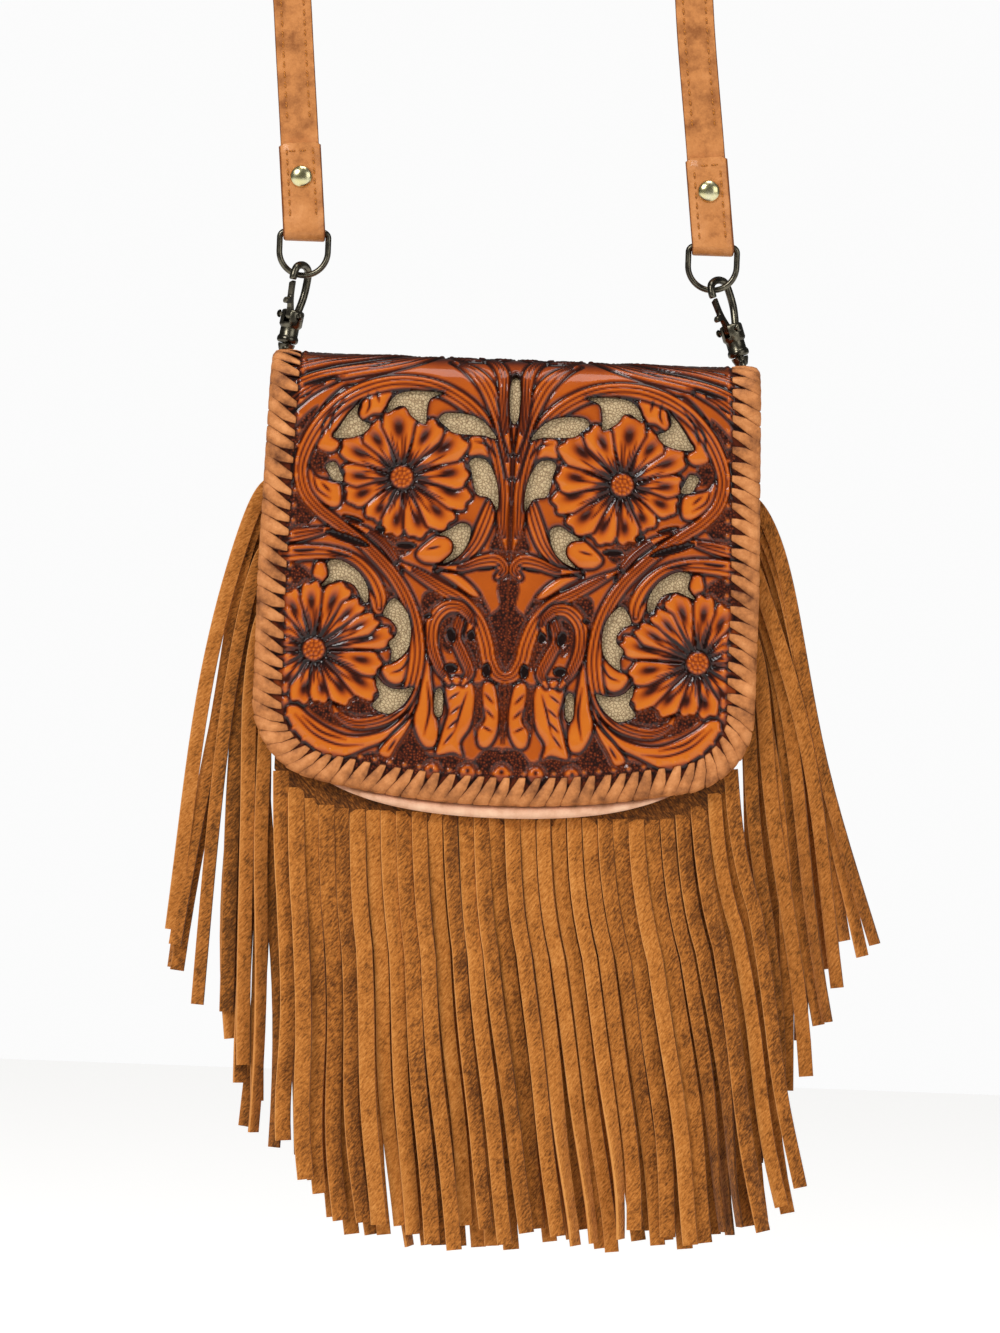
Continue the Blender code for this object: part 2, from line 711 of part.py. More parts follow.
def hanging_fringe(name, layer, count, pitch, steps, bow, material):
    """A layer of fringe across the front, with its strips fanned a little to the right."""
    face = pouch_front_y() - FIT - layer * (STRIP_THICKNESS + FIT)
    out = Vector((0, -1, 0))
    sections, strips = [], []
    first = FRINGE_LEFT + (pitch - STRIP_WIDTH - STRIP_GAP) / 2
    for i in range(count):
        left = first + i * pitch
        for x in (left, left + STRIP_WIDTH):
            low = seam_height(x) - FRINGE_SLIT
            high = low + BAND_DEPTH
            rear = face - STRIP_THICKNESS
            sections.append([Vector((x, rear, high)), Vector((x, rear, low)), Vector((x, face, low)),
                             Vector((x, face, high))])
        middle = left + STRIP_WIDTH / 2
        lean = math.radians(7.5 + 4.0 * middle / -FRINGE_LEFT)
        forward = bow + 0.5 * bow * math.sin(1.7 * i)
        start = Vector((middle, face - STRIP_THICKNESS / 2, seam_height(middle) - FRINGE_SLIT))
        twist = math.radians(35) * math.sin(2.3 * i) if layer else 0.0
        rings = []
        for j in range(1, steps + 1):
            share = j / steps
            down = STRIP_LENGTH * share
            swing = 1 - math.cos(math.pi / 2 * min(share * 3, 1))
            x = start.x + down * math.sin(lean) * (0.5 * swing + 0.5)
            spot = Vector((x, start.y - forward * math.sin(math.pi / 2 * share), start.z - down * math.cos(lean)))
            turn = twist * share**2
            across = Vector((math.cos(turn), math.sin(turn), 0))
            rings.append(strip_ring(spot, across, Vector((math.sin(turn), -math.cos(turn), 0))))
        strips.append(rings)
    return solid(name, *comb(sections, strips), material)


def side_fringe(name, side, tails):
    """The fringe down one side seam, which spreads out and hangs beside the pouch in layers."""
    face = pouch_front_y() - FIT
    edge = POUCH_HALF_WIDTH + FIT
    first_end, last_end = [(side * (POUCH_HALF_WIDTH + reach), height) for reach, height in tails]
    sections, strips = [], []
    pitch = STRIP_WIDTH + STRIP_GAP
    for k in range(SIDE_COUNT):
        top = SIDE_TOP - k * pitch
        for z in (top, top - STRIP_WIDTH):
            rear = face - STRIP_THICKNESS
            inner, outer = side * (edge - SIDE_BAND), side * edge
            sections.append([Vector((inner, rear, z)), Vector((outer, rear, z)), Vector((outer, face, z)),
                             Vector((inner, face, z))])
        share = k / (SIDE_COUNT - 1)
        start = Vector((side * edge, face - STRIP_THICKNESS / 2, top - STRIP_WIDTH / 2))
        end = Vector(first_end).lerp(Vector(last_end), share)
        elbow = Vector((side * (edge + 16), start.z - 2))
        layer = (1 + k % SIDE_LAYERS) * SIDE_LAYER
        rings = []
        for t in (0.06, 0.2, 0.5, 1.0):
            x = (1 - t) ** 2 * start.x + 2 * t * (1 - t) * elbow.x + t * t * end.x
            z = (1 - t) ** 2 * start.z + 2 * t * (1 - t) * elbow.y + t * t * end.y
            dx = 2 * (1 - t) * (elbow.x - start.x) + 2 * t * (end.x - elbow.x)
            dz = 2 * (1 - t) * (elbow.y - start.z) + 2 * t * (end.y - elbow.y)
            along = Vector((dx, 0, dz)).normalized()
            across = Vector((-along.z, 0, along.x)) * -side
            y = start.y + layer * min(1, t / 0.2)
            rings.append(strip_ring(Vector((x, y, z)), across, Vector((0, -1, 0))))
        strips.append(rings)
    return solid(name, *comb(sections, strips), dark_suede())


def strap_leg(side, steps=2):
    """Middle line of one strap end, from the tip of its folded tail to the top of its leg."""
    foot_x = LEG_FEET[side]
    bar_z = RING_BOTTOM + RING_HEIGHT - RING_WIRE
    radius = RING_WIRE / 2 + FIT + STRAP_THICKNESS / 2
    lean_x, lean_z = STRAP_ROUTE[0] if side == "left" else STRAP_ROUTE[-1]

    def at(y, z):
        share = (z - bar_z) / (lean_z - bar_z)
        return Vector((foot_x + (lean_x - foot_x) * max(share, 0), y, z))

    gap = (STRAP_THICKNESS + FIT) / 2
    tail = [at(-gap, bar_z + STRAP_TAIL * share) for share in (1.0, 0.75, 0.5)] + [at(-gap - 0.3, bar_z + 10)]
    loop = [at(-radius * math.cos(a), bar_z - radius * math.sin(a)) for a in
            [math.pi * i / (2 * steps) for i in range(2 * steps + 1)]]
    leg = [at(gap + 0.3, bar_z + 10), at(gap, bar_z + STRAP_TAIL / 2), at(gap, bar_z + STRAP_TAIL * 0.8)]
    leg += [at(gap, bar_z + STRAP_TAIL * 1.2)]
    return tail + loop + leg


def smooth_route(points, steps):
    """Points along a smooth curve through the given ones, by Catmull and Rom's rule."""
    points = [2 * points[0] - points[1], *points, 2 * points[-1] - points[-2]]
    found = []
    for a, b, c, d in zip(points, points[1:], points[2:], points[3:]):
        for i in range(steps):
            t = i / steps
            found.append(0.5 * (2 * b + (c - a) * t + (2 * a - 5 * b + 4 * c - d) * t * t
                                + (3 * b - a - 3 * c + d) * t**3))
    return found + [points[-2]]


def strap_frames():
    """Middle points of the strap, each with the share of its quarter turn there."""
    left, right = strap_leg("left"), strap_leg("right")[::-1]
    gap = (STRAP_THICKNESS + FIT) / 2
    route = [Vector((x, gap, z)) for x, z in STRAP_ROUTE]
    upper = smooth_route([left[-1], *route, right[0]], 3)[1:-1]
    frames = [(p, 0.0) for p in left]
    for point in upper:
        share = (point.z - STRAP_ROUTE[0][1]) / (STRAP_ROUTE[3][1] - STRAP_ROUTE[0][1])
        share = min(max(share, 0), 1)
        rise = share * share * (3 - 2 * share)
        drift = gap * (1 - rise)
        if abs(point.x) <= STRAP_SEAT + FIT:
            point.z = HANG
        frames.append((Vector((point.x, drift, point.z + rise * STRAP_THICKNESS / 2)), rise))
    return frames + [(p, 0.0) for p in right]


def strap():
    """The strap: one band whose ends fold round the rings and up the front, turned flat at its top."""
    frames = strap_frames()
    points = [p for p, _ in frames]
    rings = []
    for i, (middle, rise) in enumerate(frames):
        before, after = points[max(i - 1, 0)], points[min(i + 1, len(points) - 1)]
        along = (after - before).normalized()
        if rise == 0:
            across = Vector((1 if i < len(frames) / 2 else -1, 0, 0))
        else:
            flat = Vector((0, 1, 0)).cross(along).normalized()
            turn = rise * math.pi / 2
            across = (math.cos(turn) * flat + math.sin(turn) * Vector((0, 1, 0))).normalized()
        out = along.cross(across).normalized()
        if abs(middle.x) <= STRAP_SEAT + FIT and rise == 1:
            across, out = Vector((0, 1, 0)), Vector((0, 0, 1))
        wide, thick = across * (STRAP_WIDTH / 2), out * (STRAP_THICKNESS / 2)
        rings.append([middle - wide + thick, middle + wide + thick, middle + wide - thick, middle - wide - thick])
    return solid("strap", *skin_rings(rings, closed=False), strap_leather())


def ring_path():
    """Middle line of a D-ring about its bar, as (x, z)."""
    half = (RING_WIDTH - RING_WIRE) / 2
    drop = RING_HEIGHT - RING_WIRE - half
    corner = 2.5
    path = arc((half - corner, -corner), corner, math.pi / 2, 0, 3)
    path += arc((0, -drop), half, 0, -math.pi, 10)
    path += arc((corner - half, -corner), corner, math.pi, math.pi / 2, 3)
    return path


def strap_end(side, leather):
    """The ring and rivet at one end of the strap."""
    bar_z = RING_BOTTOM + RING_HEIGHT - RING_WIRE
    foot = Vector((LEG_FEET[side], 0, bar_z))
    path = [foot + Vector((x, 0, z)) for x, z in ring_path()]
    ring = solid(f"strap_ring_{side}", *bar(path, [RING_WIRE / 2] * len(path), 6, (0, 1, 0), True), gunmetal())
    carry(pivot(f"ring_pivot_{side}", foot), ring)
    rivet_z = bar_z + STRAP_TAIL * 0.62
    lean_x, lean_z = STRAP_ROUTE[0] if side == "left" else STRAP_ROUTE[-1]
    x = foot.x + (lean_x - foot.x) * (rivet_z - bar_z) / (lean_z - bar_z)
    face = STRAP_THICKNESS + FIT / 2 + FIT
    post, cap = RIVET_POST / 2, RIVET_CAP / 2
    profile = [(0, -face - 0.8), (cap * 0.8, -face - 0.7), (cap * 0.8, -face), (post, -face), (post, face)]
    profile += [(cap, face), (cap, face + 0.6), (cap * 0.7, face + 1.6), (0, face + 2.0)]
    place = Matrix.Translation((x, 0, rivet_z)) @ Matrix.Rotation(math.pi / 2, 4, "X")
    solid(f"strap_rivet_{side}", *moved(turned(profile, 12), place), finish("pale_brass", "E8DFA8", 0.25, 1.0))
    hole = [(0, -2 * face), (post + FIT, -2 * face), (post + FIT, 2 * face), (0, 2 * face)]
    cutter = solid(f"rivet_hole_{side}", *moved(turned(hole, 10), place), gunmetal())
    combine(leather, cutter, "DIFFERENCE")


def tab(side, sign):
    """The folded leather tab on the gusset that holds the swivel eye."""
    radius = EYE_WIRE / 2 + FIT + TAB_LEATHER / 2
    half = (TAB_LEATHER + FIT) / 2
    neck = BAR_HEIGHT - 3 * radius
    line = [(-half, TAB_FOOT), (-half, neck)] + arc((0, BAR_HEIGHT), radius, 7 * math.pi / 6, -math.pi / 6, 8)
    line += [(half, neck), (half, TAB_FOOT)]
    outer, inner = [], []
    for i, (x, z) in enumerate(line):
        before, after = Vector(line[max(i - 1, 0)]), Vector(line[min(i + 1, len(line) - 1)])
        along = (after - before).normalized()
        out = Vector((-along.y, along.x)) * (TAB_LEATHER / 2)
        outer.append((sign * (BAR_X + x + out.x), z + out.y))
        inner.append((sign * (BAR_X + x - out.x), z - out.y))
    shape = extruded(outer + inner[::-1], -TAB_WIDTH / 2, TAB_WIDTH / 2)
    solid(f"tab_{side}", *shape, finish("tab_leather", "B07C48", 0.6))


def hook_place(side, sign):
    """The frame of a hook: its axis from the tab's bar to the strap's ring."""
    top = Vector((HOOK_TOPS[side], 0, RING_BOTTOM + RING_WIRE + LINK_SLACK + HOOK_WIRE / 2))
    foot = Vector((sign * BAR_X, 0, BAR_HEIGHT))
    along = (top - foot).normalized()
    base = top - along * HOOK_REACH
    tilt = Vector((0, 0, 1)).rotation_difference(along).to_matrix().to_4x4()
    return base, along, tilt, (base - foot).length


def gate_outline():
    """Outline of the sprung gate: a boss at its pin, a thumb lever, and a tip under the bow's nose."""
    boss = arc((PIN_X, PIN_HEIGHT), 2.3, math.pi, 2 * math.pi, 6)
    outside = [(4.6, 14.6), (5.4, 16.4), (8.6, 15.9), (9.8, 17.0), (9.0, 18.4), (6.4, 19.0), (7.4, GATE_TOP - 1)]
    inner = [(5.2, GATE_TOP), (3.8, 19.0), (1.8, 14.6)]
    return boss + outside + inner


def hook(side, sign):
    """One trigger snap: swivel eye, barrel with its bow, sprung gate and pin."""
    base, along, tilt, reach = hook_place(side, sign)
    lift = Matrix.Translation(base) @ tilt
    place = lift @ Matrix.Rotation(HOOK_TURNS[side], 4, "Z")
    top_z, low_z, corner = -EYE_WIRE / 2 - 2.2, -reach, 3.0
    eye_half = TAB_WIDTH / 2 + FIT + corner
    loop = arc((eye_half - corner, top_z - corner), corner, math.pi / 2, 0, 3)
    loop += arc((eye_half - corner, low_z + corner), corner, 0, -math.pi / 2, 3)
    loop += [(-y, z) for y, z in reversed(loop)]
    path = [Vector((0, y, z)) for y, z in loop]
    eye_shape = moved(bar(path, [EYE_WIRE / 2] * len(path), 6, (1, 0, 0), True), lift)
    eye = solid(f"swivel_eye_{side}", *eye_shape, gunmetal())
    post = [(0, top_z - 0.6), (2.6, top_z - 0.6), (3.6, -1.2), (3.6, -FIT), (POST_RADIUS, -FIT)]
    post += [(POST_RADIUS, POST_LENGTH), (0, POST_LENGTH)]
    combine(eye, solid(f"eye_post_{side}", *moved(turned(post, 8), lift), gunmetal()), "UNION")

    bore = POST_RADIUS + FIT
    barrel = [(0, POST_LENGTH + FIT), (bore, POST_LENGTH + FIT), (bore, 0), (3.9, 0), (4.5, 0.8), (4.5, 2.4)]
    barrel += [(3.9, 3.2), (3.9, 6.4), (BARREL_RADIUS, 7.6), (BARREL_RADIUS, BARREL_HEIGHT - 1)]
    barrel += [(BARREL_RADIUS - 1, BARREL_HEIGHT), (0, BARREL_HEIGHT)]
    body = solid(f"hook_body_{side}", *moved(turned(barrel, 12), place), gunmetal())
    bow = [(-2.9, 11.0), (-5.0, 16.0), (-6.5, 21.5), (-6.5, 28.5), (-5.2, 31.8), (0, HOOK_REACH), (5.2, 31.8)]
    bow += [(6.5, 28.8), (6.5, GATE_TOP + FIT)]
    radii = [HOOK_WIRE / 2] * (len(bow) - 1) + [HOOK_WIRE * 0.42]
    bow_shape = bar([Vector((x, 0, z)) for x, z in bow], radii, 6, (0, 1, 0))
    combine(body, solid(f"bow_{side}", *moved(bow_shape, place), gunmetal()), "UNION")
    slot_half = GATE_THICKNESS / 2 + FIT
    slot = box((-1.5, -slot_half, PIN_HEIGHT - 3.0), (2 * BARREL_RADIUS, slot_half, BARREL_HEIGHT + 1))
    combine(body, solid(f"gate_slot_{side}", *moved(slot, place), gunmetal()), "DIFFERENCE")
    across = place @ Matrix.Translation((PIN_X, 0, PIN_HEIGHT)) @ Matrix.Rotation(math.pi / 2, 4, "X")
    reach_y = BARREL_RADIUS + FIT
    hole_radius = PIN_RADIUS + FIT
    hole = [(0, -2 * reach_y), (hole_radius, -2 * reach_y), (hole_radius, 2 * reach_y), (0, 2 * reach_y)]
    hole_shape = moved(turned(hole, 10), across)
    combine(body, solid(f"pin_hole_{side}", *hole_shape, gunmetal()), "DIFFERENCE")

    pin = [(0, -reach_y - 0.8), (1.3, -reach_y - 0.6), (1.7, -reach_y), (PIN_RADIUS, -reach_y)]
    pin += [(PIN_RADIUS, reach_y), (1.7, reach_y), (1.3, reach_y + 0.6), (0, reach_y + 0.8)]
    pin_piece = solid(f"hook_pin_{side}", *moved(turned(pin, 8), across), gunmetal())
    half = GATE_THICKNESS / 2
    gate = solid(f"hook_gate_{side}", *moved(extruded(gate_outline(), -half, half), place), gunmetal())
    combine(gate, solid(f"gate_hole_{side}", *hole_shape, gunmetal()), "DIFFERENCE")
    carry(pivot(f"hook_pivot_{side}", base), body, pin_piece)
    carry(pivot(f"gate_pivot_{side}", place @ Vector((PIN_X, 0, PIN_HEIGHT))), gate)


def main():
    clear_scene()
    pouch_panels()
    gusset()
    pouch_lining()
    back_strip()
    stud = magnet_snap()
    hinge = pivot("flap_hinge", (0, HINGE_Y, FLAP_TOP - FLAP_THICKNESS / 2))
    carry(hinge, carved_panel(), inlay_sheet(), flap_lining(), edge_lace(), stud)
    pitch = STRIP_WIDTH + STRIP_GAP
    hanging_fringe("fringe_front", 1, FRINGE_FRONT_COUNT, pitch, 4, 6.0, suede())
    under_pitch = pitch * FRINGE_FRONT_COUNT / FRINGE_UNDER_COUNT
    hanging_fringe("fringe_under", 0, FRINGE_UNDER_COUNT, under_pitch, 3, 1.5, dark_suede())
    side_fringe("fringe_left", -1, LEFT_TAILS)
    side_fringe("fringe_right", 1, RIGHT_TAILS)
    leather = strap()
    for side, sign in (("left", -1), ("right", 1)):
        strap_end(side, leather)
        tab(side, sign)
        hook(side, sign)


main()
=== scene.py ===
"""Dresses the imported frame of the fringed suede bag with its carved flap, lace, fringe, strap and snaps.

Sizes are in millimetres. Heights are measured from the middle of the flap, and lifted() turns them into the
frame's metres, which start at the strap's top.
"""

import json
import logging
import math
from collections.abc import Callable
from dataclasses import dataclass
from enum import Enum

import bmesh
import bpy
import numpy as np
from mathutils import Matrix, Vector
from mathutils.geometry import delaunay_2d_cdt


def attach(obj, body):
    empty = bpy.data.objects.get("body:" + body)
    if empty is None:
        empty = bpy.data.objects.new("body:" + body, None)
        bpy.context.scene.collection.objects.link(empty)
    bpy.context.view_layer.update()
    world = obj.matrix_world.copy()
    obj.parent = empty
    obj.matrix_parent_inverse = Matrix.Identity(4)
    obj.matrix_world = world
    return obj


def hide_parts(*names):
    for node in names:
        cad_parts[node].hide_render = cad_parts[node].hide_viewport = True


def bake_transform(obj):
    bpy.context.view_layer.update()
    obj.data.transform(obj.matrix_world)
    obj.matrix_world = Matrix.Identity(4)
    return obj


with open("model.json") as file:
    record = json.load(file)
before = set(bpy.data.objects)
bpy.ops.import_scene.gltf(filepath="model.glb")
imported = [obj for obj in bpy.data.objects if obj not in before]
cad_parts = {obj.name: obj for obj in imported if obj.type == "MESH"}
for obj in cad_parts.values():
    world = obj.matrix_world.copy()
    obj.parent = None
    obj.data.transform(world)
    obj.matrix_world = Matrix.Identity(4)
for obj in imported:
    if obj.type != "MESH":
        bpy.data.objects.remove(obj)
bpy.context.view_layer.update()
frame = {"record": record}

Material = bpy.types.Material
Node = bpy.types.Node
Object = bpy.types.Object
Socket = bpy.types.NodeSocket
Tree = bpy.types.NodeTree
Number = float | np.ndarray
Points = list | np.ndarray

MM = 0.001
HANG = 400.0
FIT = 0.3
LOG = logging.getLogger("bag")

# The frame's own sizes that the pieces here follow
HINGE_Y = -16.0
FLAP_FACE_Y = -64.0
FLAP_TOP = 90.0
FLAP_BEND = 16.0
FLAP_FLAT = HINGE_Y - FLAP_FACE_Y - FLAP_BEND
FLAP_HALF_WIDTH = 100.5
FLAP_TOP_HALF_WIDTH = 98.0
FLAP_CORNER = 31.0
FLAP_CORNER_HEIGHT = -52.0
FLAP_CORNER_SWEEP = math.radians(74)
FLAP_BOTTOM = -90.3
FLAP_LEATHER = 2.8
INLAY = 0.5
LINING = 1.2
LINING_DEPTH = 5.4
POUCH_HALF_WIDTH = 97.0
POUCH_CORNER = 36.0
POUCH_BOTTOM = -86.0
POUCH_FRONT_Y = -53.0
POUCH_BACK_Y = 7.0
STRIP_WIDTH = 6.0
STRIP_PITCH = 6.35
STRIP_THICKNESS = 1.2
STRIP_LENGTH = 172.0
FRINGE_LEFT = -93.0
FRINGE_SLIT = 14.0
RING_BAR = 143.25
STRAP_TAIL = 37.0
STRAP_WIDTH = 16.0
STRAP_THICKNESS = 2.4
THREAD_LIFT = 0.02
STITCH_TURNS = (0.0, 1.05, 2.09, 3.14, 4.19, 5.24)
STRAP_STITCH = ((0, -0.25, 0.2), (0.18, 0.12, 0.34), (0.5, 0.2, 0.4), (0.82, 0.12, 0.34), (1, -0.25, 0.2))
BACK_STITCH = ((0, -0.3, 0.2), (0.2, 0.1, 0.35), (0.5, 0.2, 0.4), (0.8, 0.1, 0.35), (1, -0.3, 0.2))


class Side(Enum):
    """The two sides of the bag, as seen from its front."""

    LEFT = -1
    RIGHT = 1

    @property
    def word(self) -> str:
        """The side's name, as the nodes have it."""
        return self.name.lower()


def srgb(colour: str) -> tuple:
    """Turns an sRGB hex colour to Blender's linear values.

    Args:
        colour: six hex digits.

    Returns:
        Red, green, blue and an alpha of 1.
    """
    parts = [int(colour[i : i + 2], 16) / 255 for i in (0, 2, 4)]
    return tuple(p / 12.92 if p <= 0.04045 else ((p + 0.055) / 1.055) ** 2.4 for p in parts) + (1.0,)


def add(tree: Tree, kind: str, settings: dict | None = None, inputs: dict | None = None) -> Node:
    """Adds a shader node with its settings and links.

    Args:
        tree: the node tree.
        kind: the node's type without its ShaderNode beginning.
        settings: properties to set; "stops" gives a colour ramp's (position, hex colour) pairs.
        inputs: values or sockets for the node's inputs, by name or number.

    Returns:
        The node.
    """
    node = tree.nodes.new("ShaderNode" + kind)
    for name, value in (settings or {}).items():
        if name == "stops":
            ramp = node.color_ramp
            while len(ramp.elements) < len(value):
                ramp.elements.new(1.0)
            for element, (place, colour) in zip(ramp.elements, value):
                element.position = place
                element.color = srgb(colour)
        else:
            setattr(node, name, value)
    for name, value in (inputs or {}).items():
        if isinstance(value, Socket):
            tree.links.new(value, node.inputs[name])
        else:
            node.inputs[name].default_value = value
    return node


@dataclass(frozen=True)
class Finish:
    """What every finish shares: a material with its shader, and Object coordinates in metres."""

    name: str

    def start(self) -> tuple:
        """Makes the empty material.

        Returns:
            The material, its node tree, its shader and its Object coordinates.
        """
        material = bpy.data.materials.get(self.name) or bpy.data.materials.new(self.name)
        material.use_nodes = True
        tree = material.node_tree
        tree.nodes.clear()
        shader = add(tree, "BsdfPrincipled")
        out = add(tree, "OutputMaterial", None, {"Surface": shader.outputs[0]})
        out.is_active_output = True
        place = add(tree, "TexCoord").outputs["Object"]
        return material, tree, shader, place

    def attribute(self, tree: Tree, name: str) -> Socket:
        """The number that a piece's mesh carries under this name."""
        return add(tree, "Attribute", {"attribute_name": name}).outputs["Fac"]

    def relief(self, tree: Tree, shader: Node, height: Socket, depth: float, strength: float = 1.0) -> None:
        """Bumps the shader's surface.

        Args:
            tree: the node tree.
            shader: the shader to bump.
            height: the socket that gives the height, from 0 to 1.
            depth: how many millimetres that height is.
            strength: how much of the bump shows.
        """
        bump = add(tree, "Bump", None, {"Height": height, "Distance": depth * MM, "Strength": strength})
        tree.links.new(bump.outputs[0], shader.inputs["Normal"])


@dataclass(frozen=True)
class CarvedLeather(Finish):
    """Tooled cowhide, dyed orange with mahogany antiquing left in its cuts, then lacquered.

    The swivel knife and bevellers leave soft edges, the antique pools in them, and the lacquer gives a wet
    gloss. The darkness it reads also holds painted shade: beside raised forms, in deep wells, on the fold and
    between the lace turns.
    """

    name: str = "carved_orange_leather"
    grain_mm: float = 0.8
    stipple_mm: float = 1.1

    def build(self) -> Material:
        """Makes the material and its nodes.

        Returns:
            The material.
        """
        material, tree, shader, place = self.start()
        mottle = add(tree, "TexNoise", None, {"Vector": place, "Scale": 90.0, "Detail": 4.0}).outputs["Fac"]
        dye = self.attribute(tree, "dye")
        worn = add(tree, "Math", {"operation": "MULTIPLY_ADD"}, {0: mottle, 1: 0.22, 2: -0.11}).outputs[0]
        deep = add(tree, "Math", {"operation": "ADD", "use_clamp": True}, {0: dye, 1: worn}).outputs[0]
        stops = [(0.0, "D0741F"), (0.22, "BA5810"), (0.45, "8C390B"), (0.7, "491909"), (1.0, "190805")]
        leather = add(tree, "ValToRGB", {"stops": stops}, {"Fac": deep}).outputs[0]
        ground = self.attribute(tree, "ground")
        cells = {"Vector": place, "Scale": 1000 / self.stipple_mm, "Randomness": 0.8}
        stipple = add(tree, "TexVoronoi", None, cells).outputs["Distance"]
        dots = add(tree, "ValToRGB", {"stops": [(0.0, "94451A"), (0.3, "58200B"), (0.7, "210B05")]},
                   {"Fac": stipple}).outputs[0]
        colour = add(tree, "Mix", {"data_type": "RGBA"}, {0: ground, 6: leather, 7: dots}).outputs[2]
        tree.links.new(colour, shader.inputs["Base Color"])
        fine = {"Vector": place, "Scale": 1000 / self.grain_mm, "Detail": 4.0, "Roughness": 0.6}
        grain = add(tree, "TexNoise", None, fine).outputs["Fac"]
        pits = add(tree, "Math", {"operation": "MULTIPLY"}, {0: stipple, 1: ground}).outputs[0]
        height = add(tree, "Math", {"operation": "MULTIPLY_ADD"}, {0: grain, 1: 0.35, 2: pits}).outputs[0]
        self.relief(tree, shader, height, 0.35, 0.8)
        gloss = add(tree, "MapRange", None, {"Value": ground, "To Min": 0.34, "To Max": 0.5}).outputs[0]
        tree.links.new(gloss, shader.inputs["Roughness"])
        shader.inputs["Specular IOR Level"].default_value = 0.08
        shader.inputs["Coat Weight"].default_value = 0.6
        shader.inputs["Coat Roughness"].default_value = 0.08
        return material


@dataclass(frozen=True)
class FoilLeather(Finish):
    """Thin leather with a champagne foil pressed on, which crackles into fine plates with darker lines."""

    name: str = "champagne_foil_leather"
    plate_mm: float = 1.3

    def build(self) -> Material:
        """Makes the material and its nodes.

        Returns:
            The material.
        """
        material, tree, shader, place = self.start()
        warp = add(tree, "TexNoise", None, {"Vector": place, "Scale": 700.0, "Detail": 2.0}).outputs["Color"]
        bent = add(tree, "VectorMath", {"operation": "MULTIPLY_ADD"},
                   {0: warp, 1: (0.0008, 0.0008, 0.0008), 2: place}).outputs[0]
        cells = {"Vector": bent, "Scale": 1000 / self.plate_mm}
        cracks = add(tree, "TexVoronoi", {"feature": "DISTANCE_TO_EDGE"}, cells).outputs["Distance"]
        plate = add(tree, "MapRange", None, {"Value": cracks, "From Max": 0.22}).outputs[0]
        stops = [(0.0, "866B48"), (0.5, "C0A278"), (1.0, "DAC094")]
        colour = add(tree, "ValToRGB", {"stops": stops}, {"Fac": plate}).outputs[0]
        tree.links.new(colour, shader.inputs["Base Color"])
        shader.inputs["Metallic"].default_value = 0.12
        shader.inputs["Roughness"].default_value = 0.42
        self.relief(tree, shader, plate, 0.12)
        return material


@dataclass(frozen=True)
class PlainLeather(Finish):
    """Vegetable tanned leather left matte, with a fine pebbled grain and a cloudy tone from handling."""

    light: str = "C79A72"
    middle: str = "AC7E58"
    dark: str = "7C5234"
    grain_mm: float = 0.9
    depth_mm: float = 0.15
    roughness: float = 0.65
    coat: float = 0.0
    shaded: str = ""

    def build(self) -> Material:
        """Returns the material; the shaded attribute, where it is named, darkens it.

        Returns:
            The material.
        """
        material, tree, shader, place = self.start()
        cloud = add(tree, "TexNoise", None,
                    {"Vector": place, "Scale": 110.0, "Detail": 6.0, "Roughness": 0.65})
        tone = cloud.outputs["Fac"]
        if self.shaded:
            shade = self.attribute(tree, self.shaded)
            down = add(tree, "Math", {"operation": "MULTIPLY_ADD"}, {0: shade, 1: -0.45, 2: tone}).outputs[0]
            tone = add(tree, "Math", {"operation": "MAXIMUM"}, {0: down, 1: 0.0}).outputs[0]
        stops = [(0.2, self.dark), (0.48, self.middle), (0.68, self.light)]
        colour = add(tree, "ValToRGB", {"stops": stops}, {"Fac": tone}).outputs[0]
        tree.links.new(colour, shader.inputs["Base Color"])
        grain = add(tree, "TexVoronoi", {"feature": "SMOOTH_F1"},
                    {"Vector": place, "Scale": 1000 / self.grain_mm})
        self.relief(tree, shader, grain.outputs["Distance"], self.depth_mm, 0.7)
        shader.inputs["Roughness"].default_value = self.roughness
        shader.inputs["Specular IOR Level"].default_value = 0.2
        shader.inputs["Coat Weight"].default_value = self.coat
        return material


